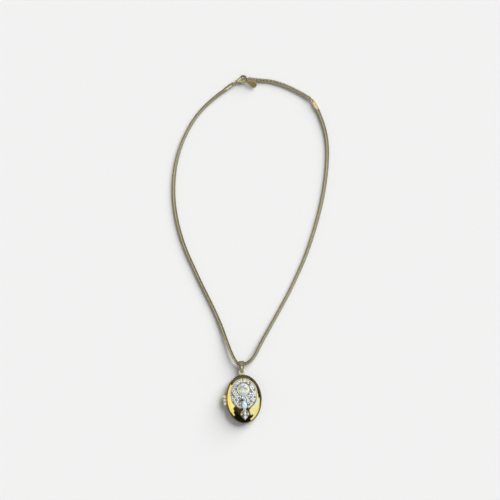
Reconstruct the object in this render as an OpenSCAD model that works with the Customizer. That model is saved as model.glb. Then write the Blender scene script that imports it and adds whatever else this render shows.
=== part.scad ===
// Oval locket with a raised bird of cut stones on its domed cover, on a snake chain.
// It lies on its flat back. X is across the locket, Y runs up to the bail, Z out of the front.
// The origin is the middle of the flat face that the locket lies on. Millimetres.

/* [Locket shells] */
// Width of the oval outline
locket_w = 23.6; // [23:0.1:24.2]
// Length of the oval outline
locket_l = 32.1; // [31.6:0.1:32.8]
// Height of the seam between back and cover above the surface
seam_z = 3.6; // [3.5:0.05:3.8]
// Depth of the oval bowl that the flat back is cut from
back_bowl = 4.3; // [4.2:0.1:4.8]
// Rise of the cover's dome above the seam
cover_rise = 4.6; // [4.4:0.1:5]
// Thickness of the shells' metal
wall = 0.7; // [0.6:0.05:0.8]
// Height of the thumb notch's middle below the oval's centre line
notch_drop = 4.2; // [3:0.2:6]

/* [Hinge] */
// Distance of the hinge axis outside the oval
hinge_out = 0.75; // [0.7:0.05:0.85]
// Radius of the hinge barrel
knuckle_r = 1; // [0.95:0.05:1.05]
// Length of each of the three knuckles
knuckle_l = 2.1; // [1.8:0.1:2.4]
// Radius of the hinge pin
hinge_pin_r = 0.35; // [0.3:0.05:0.4]
// Space round the pin and beside the barrel
hinge_play = 0.08; // [0.06:0.01:0.1]

/* [Top ring and bail] */
// Radius of the top ring to the middle of its wire
top_ring_r = 1.65; // [1.6:0.05:1.75]
// Radius of the top ring's wire
top_ring_wire = 0.6; // [0.55:0.05:0.6]
// Thickness of the bail's strap
bail_strap = 0.55; // [0.5:0.05:0.6]
// Radius of the bail's wide end inside
bail_wide_r = 1.6; // [1.55:0.05:1.65]
// Radius of the bail's narrow end inside
bail_narrow_r = 0.8; // [0.78:0.02:0.84]

/* [Bird ornament] */
// Half of the spread of the wings
wings_half_w = 8.7; // [8.4:0.1:9]
// Half of the height of the wings' outline
wings_half_l = 9.9; // [9.6:0.1:10]
// Thickness of the wings' metal
wing_h = 0.8; // [0.7:0.05:0.9]
// Width of the wings' raised rim
rim_w = 0.6; // [0.5:0.05:0.7]
// Height of the raised rim over the cover
rim_h = 1.25; // [1.1:0.05:1.4]
// Spacing of the small stones
pave_pitch = 1.32; // [1.3:0.02:1.6]
// Radius of a small stone at its girdle
pave_r = 0.56; // [0.45:0.01:0.57]
// Radius of the large crystal
crystal_r = 3.75; // [3.6:0.05:3.8]
// Width of the metal round the large crystal
bezel_w = 0.4; // [0.35:0.05:0.45]

/* [Chain] */
// Diameter of the snake chain
chain_d = 2.1; // [1.8:0.1:2.1]
// Outer radius of the end tubes
crimp_r = 1.28; // [1.27:0.01:1.35]
// Length of the end tubes
crimp_l = 5.6; // [5:0.1:6]
// Number of links in the extender
link_count = 19; // [19:1:19]
// Radius of the wire of a link
link_wire = 0.33; // [0.32:0.01:0.35]
// Half of a link's length, to the middle of its wire
link_a = 1.7; // [1.68:0.01:1.72]
// Half of a link's width, to the middle of its wire
link_b = 0.9; // [0.87:0.01:0.95]
// Radius of a jump ring to the middle of its wire
jump_r = 1.5; // [1.48:0.01:1.52]
// Radius of the ring that the clasp holds, to the middle of its wire
clasp_ring_r = 1.8; // [1.75:0.01:1.85]
// Radius of a jump ring's wire
jump_wire = 0.26; // [0.25:0.01:0.28]

/* [Clasp and tag] */
// Thickness of the clasp
clasp_t = 1.4; // [1.3:0.1:1.5]
// Radius of the pin in the clasp's lever
clasp_pin_r = 0.3; // [0.25:0.01:0.3]
// Length of the tag between the centres of its two ends
tag_l = 4.6; // [4:0.1:5]
// Thickness of the tag
tag_t = 0.8; // [0.6:0.1:0.8]

/* [Hidden] */
gold = "goldenrod";
pale_gold = "khaki";
silver = "silver";
olive = "darkkhaki";

// Shells
half_w = locket_w / 2;
half_l = locket_l / 2;
seam_gap = 0.08;
reach = 60;
cut_over = 1;
sphere_fn = 96;
round_fn = 48;
hull_fn = 32;

// Hinge
hinge_x = -half_w - hinge_out;
knuckle_gap = 0.15;
knuckle_step = knuckle_l + knuckle_gap;
arm_root = 0.45;
arm_in = hinge_out + arm_root;
arm_h = 0.75;
pin_out = 0.15;
hinge_pin_l = 3 * knuckle_l + 2 * knuckle_gap + 2 * pin_out;

// Thumb notch, an oval scoop in the cover's edge
notch_size = [1.2, 3, 1.3];
notch_out = 0.75;
notch_up = 0.3;

// Top ring and bail
top_ring_out = 1.55;
top_ring_drop = 0.7;
top_ring_y = half_l + top_ring_out;
top_ring_z = seam_z - top_ring_drop;
bail_narrow_up = 1.55;
bail_wide_up = 5.45;
bail_wide_z = 3.2;
bail_narrow = [top_ring_y + bail_narrow_up, top_ring_z];
bail_wide = [top_ring_y + bail_wide_up, bail_wide_z];
bail_space = 8;
bail_outline = [[0.55, -1.4], [0.6, 0], [1.35, 2], [1.8, 4], [1.7, 6.5]];

// Bird ornament, placed on the dome by the point of the oval under it
bird_x = 0.15;
seat_gap = 0.08;
wings_y = 3.5;
wing_turn = [-71, 85];
crystal_y = 6.7;
crystal_turn = [-65, 88];
wing_edge_x = 2.15;
wing_edge_y = -5.7;
wing_bend = 0.4;
wing_rows = 24;
rim_slope = 0.03;
rim_least = 0.45;
bezel_play = 0.05;
bezel_gap = 0.15;
crystal_fit = crystal_r + bezel_w + bezel_gap;
crystal_floor = -0.04;
bezel_top = 1.35;
crystal_sides = 16;
// Levels of the large crystal: share of its radius, height, turn in facets
LEVEL_SHARE = 0;
LEVEL_UP = 1;
LEVEL_TURN = 2;
crystal_levels = [[0.5, 0.12, 0], [1, 1.05, 0], [1, 1.25, 0], [0.86, 1.75, 0.5], [0.58, 2.1, 1]];

// Small stones: rows each side of the wings' middle, places in a row, space kept to the metal
pave_rows = 9;
pave_places = 7;
pave_start = [0.25, 0.75];
pave_sides = 8;
pave_margin = 0.12;
pave_near = 0.02;
pave_tip_x = 0.3;

// Bird from head to tail: place along Y, left side, right side, height of its ridge
BIRD_Y = 0;
BIRD_LEFT = 1;
BIRD_RIGHT = 2;
BIRD_TOP = 3;
bird_rows = [
  [2.3, -1, 0.3, 0.9], [1.9, -1.5, 0.75, 1.3], [1.3, -1.75, 1.05, 1.45],
  [0.7, -1.75, 1.3, 1.45], [0.25, -1.82, 1.45, 1.25], [-0.15, -1.6, 1.5, 1.15],
  [-0.6, -0.95, 1.55, 1.05], [-1.4, -1.2, 1.6, 0.95], [-2.4, -1.65, 1.75, 0.9],
  [-3.6, -1.9, 1.9, 0.9], [-4.8, -1.6, 1.6, 0.9], [-5.8, -1.05, 1.05, 0.95],
  [-6.5, -0.95, 0.95, 1.1], [-7.3, -1.9, 1.9, 1], [-8.4, -2.7, 2.7, 0.9],
  [-9.7, -3.2, 3.2, 0.9], [-10.8, -2.5, 2.5, 0.9], [-12, -1.35, 1.35, 0.85],
  [-13.3, -0.25, 0.25, 0.6]];
bird_across = [-1, -0.8, -0.4, 0, 0.4, 0.8, 1];
bird_side_h = 0.55;
bird_round = 0.9;

// Levels of a cut stone: share of its outline, height over the metal that it sits on
stone_gap = 0.04;
pave_levels = [[0.8, 0], [1, 0.14], [0.58, 0.42]];
drop_levels = [[0.85, 0], [1, 0.2], [0.55, 0.85]];
head_levels = [[0.7, 0], [1, 0.18], [0.55, 0.5]];
tail_levels = [[0.8, 0], [1, 0.15], [0.5, 0.6]];

// Stones of the bird: x from its middle line, y, half width, half length, height of the seat
SPOT_X = 0;
SPOT_Y = 1;
SPOT_W = 2;
SPOT_L = 3;
SPOT_SEAT = 4;
head_spot = [-0.9, 1.4, 0.62, 0.62, 1.5];
body_spot = [0, -3.6, 1.75, 2.65, 0.98];
tail_drop = [0.1, -8.9, 0.95, 1.2, 0.95];
tail_kite = [0.05, -11.4, 1.05, 1, 0.92];
tail_sides = [[-1.95, -9.5, 0.62, 0.62, 0.85], [1.95, -9.5, 0.62, 0.62, 0.85]];
small_sides = 8;
drop_sides = 10;
body_sides = 16;
drop_point = 0.55;
kite = [[1, 0], [0.6, 0.7], [0, 1], [-0.6, 0.7], [-1, 0], [-0.55, -0.75], [0, -1.5],
  [0.55, -0.75]];

// Chain, left end tube to right end tube
crimp_z = crimp_r;
crimp_play = 0.07;
crimp_bore = chain_d / 2 + crimp_play;
crimp_depth = 4;
eye_r = 0.9;
eye_wire = 0.35;
eye_sunk = 0.15;
eye_at = crimp_l + eye_r - eye_sunk;
clasp_z = 1.85;
left_mouth = [0, 204];
left_turn = 34;
right_mouth = [60.2, 187.4];
right_turn = 117.2;
left_ring_turn = 26;
right_ring_turn = 135;
ring_lean = 15;
ring_lift = 0.05;

// Snake chain, the middle of it from end tube to end tube
chain_sides = 8;
chain_points = [
  [3, 206, 1.28], [0, 204, 1.28], [-5.6, 200.4, 1.15], [-14.3, 193.5, 1.05],
  [-21.2, 186, 1.05], [-26.8, 177.5, 1.05], [-31.5, 168, 1.05], [-34.9, 158, 1.05],
  [-36.9, 148, 1.05], [-37.8, 138, 1.05], [-37.6, 128, 1.05], [-36.4, 118, 1.05],
  [-34.3, 108, 1.05], [-31.3, 98, 1.05], [-27.5, 88, 1.05], [-23.6, 78, 1.05],
  [-19.4, 68, 1.05], [-15.3, 58, 1.1], [-11.7, 48, 1.5], [-8.7, 38, 2.2],
  [-6.6, 31.5, 2.8], [-4.7, 26.8, 3.1], [-2.6, 23.8, 3.2], [0, 22.8, 3.2],
  [2.6, 23.2, 3.2], [4.8, 24.1, 3.1], [7, 25.7, 2.9], [9.6, 29, 2.6],
  [15, 38, 1.9], [21.4, 48, 1.3], [27.8, 58, 1.1], [34, 68, 1.05], [39.6, 78, 1.05],
  [44.8, 88, 1.05], [49.3, 98, 1.05], [53.2, 108, 1.05], [56.7, 118, 1.05],
  [59.7, 128, 1.05], [62.1, 138, 1.05], [63.9, 148, 1.05], [65, 158, 1.05],
  [65, 167.5, 1.05], [63.5, 177, 1.15], [60.2, 187.4, 1.28], [58.6, 190.6, 1.28]];
chain_fine = 8;

// Clasp, along its own length from the middle of its eye
clasp_turn = 22;
clasp_eye_r = 1.15;
clasp_eye_hole = 0.62;
clasp_eye_t = 0.8;
hook_at = 4.9;
hook_r = 2.3;
hook_hole_at = [5, 0.05];
hook_hole_r = 1.3;
neck = [[0.85, -0.8], [0.85, 0.8], [3.4, 1.75], [3.4, -1.9]];
gate = [[3.95, -0.2], [6.4, -0.2], [6.4, -3], [3.95, -3]];
lever_slot = [[2, -0.15], [4.5, -0.15], [4.5, -3], [2, -3]];
lever_slot_h = 0.9;
lever_h = 0.7;
lever_thick_h = 1.3;
lever_at = [3.15, -1.1];
lever_arm = [[3.15, -0.55], [6.15, -1.15], [6.15, -1.95], [4.9, -2.25], [3.15, -1.75]];
lever_thick = [[4.3, -0.8], [6.15, -1.15], [6.15, -1.95], [4.9, -2.25], [4.3, -2.1]];
lever_tab = [[2.75, -1.5], [3.5, -1.7], [3.2, -2.75], [2.55, -2.6]];
lever_root_r = 0.6;
pin_play = 0.05;
hook_ring_at = [5.38, 0.35];

// Ring on the hook, the tag that hangs on it and the extender
clasp_ring_turn = -16;
extender_drop = 18;
tag_ring_r = 1.05;
tag_ring_wire = 0.2;
tag_ring_off = 0.25;
tag_slope = 8;
tag_ring_turn = 36;
tag_turn = 15;
tag_end_r = 0.85;
tag_wide_r = 2.3;
tag_hole_r = 0.42;
link_twist = 60;
link_steps = 20;
link_sides = 6;
link_z = 0.95;
link_play = 0.4;
link_hold = link_wire + jump_wire + link_play;
path_fine = 10;
extender_mid = [[23.5, 208.9], [30.1, 207.9], [36.5, 205.8], [42.9, 202.8], [49.3, 199.1]];

// Places along the clasp end, worked out from one piece to the next
function turned(angle, v) = [v[0] * cos(angle) - v[1] * sin(angle),
  v[0] * sin(angle) + v[1] * cos(angle)];
// A ring stands on its wire and leans; its middle is this high
function ring_z(r) = r + jump_wire + ring_lift;
// Turn round a standing ring at which its wire is at a height
function ring_rise(r, height) = asin((height - ring_z(r)) / (r * cos(ring_lean)));
// Plan offset of the wire from the ring's middle, at that turn
function ring_off(r, turn, rise) = turned(turn, [r * cos(rise), -r * sin(rise) * sin(ring_lean)]);

left_eye = left_mouth + turned(left_turn, [eye_at, 0]);
left_ring = left_eye - ring_off(jump_r, left_ring_turn, 180 - ring_rise(jump_r, crimp_z));
clasp_at = left_ring + ring_off(jump_r, left_ring_turn, ring_rise(jump_r, clasp_z));
hook_ring = clasp_at + turned(clasp_turn, hook_ring_at);
clasp_ring_mid = hook_ring
  - ring_off(clasp_ring_r, clasp_ring_turn, 180 - ring_rise(clasp_ring_r, clasp_z));
extender_start = clasp_ring_mid + ring_off(clasp_ring_r, clasp_ring_turn, -extender_drop);
extender_start_z = ring_z(clasp_ring_r) - clasp_ring_r * sin(extender_drop) * cos(ring_lean);
right_eye = right_mouth + turned(right_turn, [eye_at, 0]);
right_ring = right_eye - ring_off(jump_r, right_ring_turn, 180 - ring_rise(jump_r, crimp_z));
extender_end = right_ring + ring_off(jump_r, right_ring_turn, ring_rise(jump_r, crimp_z));

// Point of the cover's dome over [x, y], raised along its normal by h
function dome_z(x, y) = cover_rise * sqrt(1 - pow(x / half_w, 2) - pow(y / half_l, 2));
function dome_normal(x, y) = let (n = [x / pow(half_w, 2), y / pow(half_l, 2),
  dome_z(x, y) / pow(cover_rise, 2)]) n / norm(n);
function on_dome(x, y, h) = [x, y, seam_z + dome_z(x, y)] + h * dome_normal(x, y);

// Half of the oval shells, with its pole down or up
module bowl(rx, ry, rz) {
  translate([0, 0, seam_z]) scale([rx, ry, rz]) sphere(1, $fn = sphere_fn);
}

module slab(low, high) {
  translate([-reach / 2, -reach / 2, low]) cube([reach, reach, high - low]);
}

module along_y(r, length, y) {
  translate([hinge_x, y + length / 2, seam_z]) rotate([90, 0, 0])
    cylinder(h = length, r = r, $fn = round_fn);
}

// A knuckle of the hinge at y, with an arm into the shell below or above the seam
module knuckle(y, side) {
  along_y(knuckle_r, knuckle_l, y);
  translate([hinge_x, y - knuckle_l / 2, side > 0 ? seam_z + seam_gap : seam_z - arm_h])
    cube([arm_in, knuckle_l, side > 0 ? arm_h : arm_h - seam_gap]);
}

module torus(r, wire) {
  rotate_extrude($fn = round_fn) translate([r, 0]) circle(wire, $fn = hull_fn);
}

module locket_back() {
  color(gold) difference() {
    union() {
      difference() {
        intersection() {
          bowl(half_w, half_l, back_bowl);
          slab(0, seam_z);
        }
        intersection() {
          bowl(half_w - wall, half_l - wall, back_bowl - wall);
          slab(wall, seam_z + cut_over);
        }
        along_y(knuckle_r + hinge_play, knuckle_l + 2 * knuckle_gap, 0);
      }
      for (side = [-1, 1]) knuckle(side * knuckle_step, -1);
      translate([0, top_ring_y, top_ring_z]) torus(top_ring_r, top_ring_wire);
    }
    along_y(hinge_pin_r + hinge_play, 4 * knuckle_l, 0);
  }
}

module locket_front() {
  notch_rim = half_w * sqrt(1 - pow(notch_drop / half_l, 2));
  color(gold) difference() {
    union() {
      difference() {
        intersection() {
          bowl(half_w, half_l, cover_rise);
          slab(seam_z + seam_gap, seam_z + cover_rise + cut_over);
        }
        bowl(half_w - wall, half_l - wall, cover_rise - wall);
        for (side = [-1, 1])
          along_y(knuckle_r + hinge_play, knuckle_l + 2 * knuckle_gap, side * knuckle_step);
        translate([notch_rim + notch_out, -notch_drop, seam_z + notch_up])
          scale(notch_size) sphere(1, $fn = round_fn);
      }
      knuckle(0, 1);
    }
    along_y(hinge_pin_r + hinge_play, 4 * knuckle_l, 0);
  }
}

module hinge_pin() {
  color(pale_gold) along_y(hinge_pin_r, hinge_pin_l, 0);
}

// A closed solid from rows of points [x, y, height over the dome], down to the dome
module relief(rows) {
  n = len(rows);
  m = len(rows[0]);
  top = [for (row = rows, p = row) on_dome(p[0], p[1], p[2])];
  bottom = [for (row = rows, p = row) on_dome(p[0], p[1], seat_gap)];
  rim = concat([for (j = [0:m - 1]) j], [for (i = [1:n - 1]) i * m + m - 1],
    [for (j = [m - 2:-1:0]) (n - 1) * m + j], [for (i = [n - 2:-1:1]) i * m]);
  count = n * m;
  polyhedron(concat(top, bottom), concat(
    [for (i = [0:n - 2], j = [0:m - 2]) let (k = i * m + j) each
      [[k, k + 1, k + m + 1], [k, k + m + 1, k + m]]],
    [for (i = [0:n - 2], j = [0:m - 2]) let (k = count + i * m + j) each
      [[k, k + m + 1, k + 1], [k, k + m, k + m + 1]]],
    [for (k = [0:len(rim) - 1]) let (p = rim[k], q = rim[(k + 1) % len(rim)]) each
      [[p, count + p, count + q], [p, count + q, q]]]));
}

// Edges of a wing at share t of its length, from its lower end to its tip
function wing_outer(t) = let (turn = wing_turn[0] + t * (wing_turn[1] - wing_turn[0]))
  [wings_half_w * cos(turn), wings_y + wings_half_l * sin(turn)];
function bezel_edge(turn) = [crystal_fit * cos(turn), crystal_y + crystal_fit * sin(turn)];
function wing_inner(t) = t < wing_bend
  ? let (low = [wing_edge_x, wing_edge_y], s = t / wing_bend)
    low + s * (bezel_edge(crystal_turn[0]) - low)
  : bezel_edge(crystal_turn[0]
    + (t - wing_bend) / (1 - wing_bend) * (crystal_turn[1] - crystal_turn[0]));

// Points across a wing: a flat field and a raised rim along its outer edge
function wing_row(t, side) = let (
    inner = wing_inner(t), outer = wing_outer(t),
    rim = max(rim_least, 1 - rim_w / norm(outer - inner)),
    across = [[0, wing_h], [rim / 3, wing_h], [rim * 2 / 3, wing_h], [rim - rim_slope, wing_h],
      [rim, rim_h], [1, rim_h]])
  [for (c = across) let (p = inner + c[0] * (outer - inner)) [bird_x + side * p[0], p[1], c[1]]];

module wing(side) {
  rows = [for (i = [0:wing_rows]) wing_row(i / wing_rows, side)];
  color(silver) relief(side < 0 ? rows : [for (i = [wing_rows:-1:0]) rows[i]]);
}

module wing_left() { wing(-1); }
module wing_right() { wing(1); }

// A cut stone on the dome: its outline round [x, y], at the levels given
module stone(x, y, outline, levels, seat) {
  m = len(outline);
  n = len(levels);
  points = [for (level = levels, p = outline) on_dome(x + level[LEVEL_SHARE] * p[0],
    y + level[LEVEL_SHARE] * p[1], seat + stone_gap + level[LEVEL_UP])];
  polyhedron(points, concat(
    [for (j = [1:m - 2]) [0, j, j + 1]],
    [for (j = [1:m - 2]) let (k = (n - 1) * m) [k, k + j + 1, k + j]],
    [for (i = [0:n - 2], j = [0:m - 1]) let (p = i * m + j, q = i * m + (j + 1) % m) each
      [[p, p + m, q + m], [p, q + m, q]]]));
}

// Outlines of half width w and half length l
function round_outline(w, l, sides) = [for (j = [0:sides - 1]) let (t = 360 * j / sides)
  [w * cos(t), l * sin(t)]];
function drop_outline(w, l, sides) = [for (j = [0:sides - 1]) let (t = 90 + 360 * j / sides)
  [w * cos(t) * (1 - drop_point * max(0, sin(t))), l * sin(t)]];

// Whether a small stone at [x, y] from the bird's middle line fits on a wing
function on_wing(x, y) = let (edge = rim_w + pave_r + pave_margin, side = pave_r + pave_near)
  pow(x / (wings_half_w - edge), 2) + pow((y - wings_y) / (wings_half_l - edge), 2) < 1
  && norm([x, y - crystal_y]) > crystal_fit + side
  && x > side + (y > crystal_y ? pave_tip_x : wing_edge_x);

module pave(side) {
  color("white") for (i = [-pave_rows:pave_rows], j = [0:pave_places]) {
    x = (j + pave_start[abs(i) % 2]) * pave_pitch;
    y = wings_y + i * pave_pitch * sin(60);
    if (on_wing(x, y)) stone(bird_x + side * x, y,
      round_outline(pave_r, pave_r, pave_sides), pave_levels, wing_h);
  }
}

module pave_left() { pave(-1); }
module pave_right() { pave(1); }

// What stands on the dome under the large crystal, square to it
module at_crystal() {
  n = dome_normal(bird_x, crystal_y);
  translate(on_dome(bird_x, crystal_y, 0)) rotate([-asin(n[1]), asin(n[0]), 0]) children();
}

module crystal_bezel() {
  color(silver) at_crystal() difference() {
    translate([0, 0, crystal_floor])
      cylinder(h = bezel_top - crystal_floor, r = crystal_r + bezel_w, $fn = round_fn);
    translate([0, 0, -cut_over])
      cylinder(h = bezel_top + 2 * cut_over, r = crystal_r + bezel_play, $fn = round_fn);
  }
}

module round_crystal() {
  m = crystal_sides;
  points = [for (level = crystal_levels, j = [0:m - 1]) let (
      r = crystal_r * level[LEVEL_SHARE], turn = (j + level[LEVEL_TURN]) * 360 / m)
    [r * cos(turn), r * sin(turn), level[LEVEL_UP]]];
  last = (len(crystal_levels) - 1) * m;
  color("lightcyan") at_crystal() polyhedron(points, concat(
    [for (j = [1:m - 2]) [0, j, j + 1]],
    [for (j = [1:m - 2]) [last, last + j + 1, last + j]],
    [for (i = [0:len(crystal_levels) - 2], j = [0:m - 1])
      let (p = i * m + j, q = i * m + (j + 1) % m) each
      [[p, p + m, q + m], [p, q + m, q]]]));
}

module bird() {
  rows = [for (i = [len(bird_rows) - 1:-1:0]) let (row = bird_rows[i],
      mid = (row[BIRD_LEFT] + row[BIRD_RIGHT]) / 2, half = (row[BIRD_RIGHT] - row[BIRD_LEFT]) / 2)
    [for (u = bird_across) [bird_x + mid + u * half, row[BIRD_Y],
      bird_side_h + (row[BIRD_TOP] - bird_side_h) * sqrt(1 - bird_round * pow(u, 2))]]];
  color(pale_gold) relief([for (row = rows) [for (j = [len(row) - 1:-1:0]) row[j]]]);
}

// A stone of the bird in its place
module bird_stone(spot, outline, levels) {
  stone(bird_x + spot[SPOT_X], spot[SPOT_Y], outline, levels, spot[SPOT_SEAT]);
}

module small_stone(spot, levels) {
  bird_stone(spot, round_outline(spot[SPOT_W], spot[SPOT_L], small_sides), levels);
}

module head_stone() {
  color("white") small_stone(head_spot, head_levels);
}

module body_stone() {
  color("lightblue") bird_stone(body_spot,
    drop_outline(body_spot[SPOT_W], body_spot[SPOT_L], body_sides), drop_levels);
}

module tail_stones() {
  color("white") {
    bird_stone(tail_drop, drop_outline(tail_drop[SPOT_W], tail_drop[SPOT_L], drop_sides),
      tail_levels);
    bird_stone(tail_kite, [for (p = kite) [tail_kite[SPOT_W] * p[0], tail_kite[SPOT_L] * p[1]]],
      tail_levels);
    for (spot = tail_sides) small_stone(spot, tail_levels);
  }
}

module bail() {
  color(pale_gold) intersection() {
    translate([-bail_space / 2, 0, 0]) rotate([90, 0, 90]) linear_extrude(bail_space)
      difference() {
        hull() {
          translate(bail_wide) circle(bail_wide_r + bail_strap, $fn = hull_fn);
          translate(bail_narrow) circle(bail_narrow_r + bail_strap, $fn = hull_fn);
        }
        hull() {
          translate(bail_wide) circle(bail_wide_r, $fn = hull_fn);
          translate(bail_narrow) circle(bail_narrow_r, $fn = hull_fn);
        }
      }
    linear_extrude(bail_space) translate([0, bail_narrow[0]]) polygon(concat(
      [for (p = bail_outline) [p[0], p[1]]],
      [for (i = [len(bail_outline) - 1:-1:0]) [-bail_outline[i][0], bail_outline[i][1]]]));
  }
}

// Smooth curve through the points p, at share s between p[i] and p[i + 1]
function curve(p, i, s) = let (
    a = p[max(i - 1, 0)], b = p[i], c = p[i + 1], d = p[min(i + 2, len(p) - 1)])
  0.5 * (2 * b + (c - a) * s + (2 * a - 5 * b + 4 * c - d) * s * s
    + (3 * b - a - 3 * c + d) * s * s * s);
function smooth_path(p, fine) = concat(
  [for (i = [0:len(p) - 2], half = norm(p[i + 1] - p[i]) > fine ? [0, 1] : [0])
    curve(p, i, half / 2)], [p[len(p) - 1]]);
function unit(v) = v / norm(v);
function heading(p, i) = unit(p[min(i + 1, len(p) - 1)] - p[max(i - 1, 0)]);

// Points of the ring of a tube at p, square to the direction t
function tube_ring(p, t, r, sides) = let (side = unit(cross(t, [0, 0, 1])), up = cross(side, t))
  [for (j = [0:sides - 1]) let (turn = 360 * (j + 0.5) / sides)
    p + r * (cos(turn) * side + sin(turn) * up)];
function tube_faces(n, sides, closed) = [for (i = [0:closed ? n - 1 : n - 2], j = [0:sides - 1])
  let (p = i * sides + j, q = i * sides + (j + 1) % sides, ahead = ((i + 1) % n - i) * sides) each
  [[p, q, q + ahead], [p, q + ahead, p + ahead]]];

module snake_chain() {
  path = smooth_path(chain_points, chain_fine);
  n = len(path);
  m = chain_sides;
  color(olive) polyhedron(
    [for (i = [0:n - 1]) each tube_ring(path[i], heading(path, i), chain_d / 2, m)],
    concat(tube_faces(n, m, false),
      [[for (j = [m - 1:-1:0]) j], [for (j = [0:m - 1]) (n - 1) * m + j]]));
}

// End tube along X from its mouth to the eye
module crimp() {
  rotate([0, 90, 0]) difference() {
    cylinder(h = crimp_l, r = crimp_r, $fn = round_fn);
    translate([0, 0, -cut_over])
      cylinder(h = crimp_depth + cut_over, r = crimp_bore, $fn = round_fn);
  }
  translate([eye_at, 0, 0]) torus(eye_r, eye_wire);
}

module crimp_left() {
  color(pale_gold) translate([left_mouth[0], left_mouth[1], crimp_z]) rotate(left_turn) crimp();
}

module crimp_right() {
  color(gold) translate([right_mouth[0], right_mouth[1], crimp_z]) rotate(right_turn) crimp();
}

// Frame of a standing ring: X along the chain, Z up and leaning with the ring
module at_ring(place, r, turn) {
  translate([place[0], place[1], ring_z(r)]) rotate(turn) rotate([ring_lean, 0, 0]) children();
}

module standing_ring(r) {
  rotate([90, 0, 0]) torus(r, jump_wire);
}

module jump_ring_left() {
  color(pale_gold) at_ring(left_ring, jump_r, left_ring_turn) standing_ring(jump_r);
}

module jump_ring_right() {
  color(pale_gold) at_ring(right_ring, jump_r, right_ring_turn) standing_ring(jump_r);
}

module clasp_ring() {
  color(pale_gold) at_ring(clasp_ring_mid, clasp_ring_r, clasp_ring_turn)
    standing_ring(clasp_ring_r);
}

module at_clasp() {
  translate([clasp_at[0], clasp_at[1], clasp_z]) rotate(clasp_turn) children();
}

module flat(h) {
  translate([0, 0, -h / 2]) linear_extrude(h) children();
}

module clasp_body() {
  color(pale_gold) at_clasp() difference() {
    union() {
      flat(clasp_t) union() {
        translate([hook_at, 0]) circle(hook_r, $fn = round_fn);
        polygon(neck);
      }
      flat(clasp_eye_t) circle(clasp_eye_r, $fn = round_fn);
    }
    flat(clasp_eye_t + cut_over) circle(clasp_eye_hole, $fn = round_fn);
    flat(clasp_t + cut_over) translate(hook_hole_at) circle(hook_hole_r, $fn = round_fn);
    flat(clasp_t + cut_over) polygon(gate);
    flat(lever_slot_h) polygon(lever_slot);
    flat(clasp_t + cut_over) translate(lever_at) circle(clasp_pin_r + pin_play, $fn = round_fn);
  }
}

module clasp_lever() {
  color(gold) at_clasp() difference() {
    union() {
      flat(lever_h) {
        polygon(lever_arm);
        polygon(lever_tab);
        translate(lever_at) circle(lever_root_r, $fn = round_fn);
      }
      flat(lever_thick_h) polygon(lever_thick);
    }
    flat(clasp_t + cut_over) translate(lever_at) circle(clasp_pin_r + pin_play, $fn = round_fn);
  }
}

module clasp_pin() {
  color(silver) at_clasp() flat(clasp_t) translate(lever_at)
    circle(clasp_pin_r, $fn = round_fn);
}

// Frame on the upper side of the ring on the hook, X along the chain, Y up the tag's slope
module at_tag_ring() {
  at_ring(clasp_ring_mid, clasp_ring_r, clasp_ring_turn)
    translate(clasp_ring_r * [sin(tag_ring_turn), 0, cos(tag_ring_turn)])
    rotate([tag_slope, 0, 0]) children();
}

module tag_ring() {
  color(pale_gold) at_tag_ring() translate([0, -tag_ring_off, 0]) rotate([0, 90, 0])
    torus(tag_ring_r, tag_ring_wire);
}

module tag() {
  color(gold) at_tag_ring() translate([0, -tag_ring_off - tag_ring_r, 0]) rotate(-tag_turn)
    difference() {
      flat(tag_t) hull() {
        circle(tag_end_r, $fn = hull_fn);
        translate([tag_l, 0]) circle(tag_wide_r, $fn = hull_fn);
      }
      flat(tag_t + cut_over) circle(tag_hole_r, $fn = round_fn);
    }
}

// Middle line of the extender, from the ring on the hook to the ring on the right end tube
extender_points = concat([[extender_start[0], extender_start[1], extender_start_z]],
  [for (p = extender_mid) [p[0], p[1], link_z]],
  [[extender_end[0], extender_end[1], crimp_z]]);
function path_steps(p) = [for (i = [0:len(p) - 2], s = [0:path_fine - 1])
  curve(p, i, s / path_fine)];
function lengths(p, i = 0, sum = 0) = i == len(p) - 1 ? [sum]
  : concat([sum], lengths(p, i + 1, sum + norm(p[i + 1] - p[i])));
function at_length(p, along, d, i = 0) = i < len(p) - 2 && along[i + 1] < d
  ? at_length(p, along, d, i + 1)
  : p[i] + (p[i + 1] - p[i]) * (d - along[i]) / (along[i + 1] - along[i]);

// One link round c, along t, its two ends twisted each way so that it lies flat in the next
module link(c, t) {
  side = unit(cross([0, 0, 1], t));
  up = cross(t, side);
  line = [for (i = [0:link_steps - 1]) let (
      a = 360 * i / link_steps, x = link_a * cos(a), y = link_b * sin(a),
      twist = -link_twist * x / link_a)
    c + x * t + y * cos(twist) * side + y * sin(twist) * up];
  n = len(line);
  color(olive) polyhedron([for (i = [0:n - 1]) let (
      along = unit(line[(i + 1) % n] - line[(i + n - 1) % n]), out = unit(line[i] - c
        - along * ((line[i] - c) * along)), over = cross(out, along))
    each [for (j = [0:link_sides - 1]) let (turn = 360 * j / link_sides)
      line[i] + link_wire * (cos(turn) * out + sin(turn) * over)]],
    tube_faces(n, link_sides, true));
}

module extender_chain() {
  path = concat(path_steps(extender_points), [extender_points[len(extender_points) - 1]]);
  along = lengths(path);
  first = link_a - link_hold;
  pitch = (along[len(along) - 1] - 2 * first) / (link_count - 1);
  for (k = [0:link_count - 1]) {
    d = first + k * pitch;
    link(at_length(path, along, d),
      unit(at_length(path, along, d + link_b) - at_length(path, along, d - link_b)));
  }
}

locket_back();
locket_front();
hinge_pin();
wing_left();
wing_right();
pave_left();
pave_right();
crystal_bezel();
round_crystal();
bird();
head_stone();
body_stone();
tail_stones();
bail();
snake_chain();
crimp_left();
crimp_right();
jump_ring_left();
jump_ring_right();
clasp_body();
clasp_lever();
clasp_pin();
clasp_ring();
tag_ring();
tag();
extender_chain();
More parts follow.
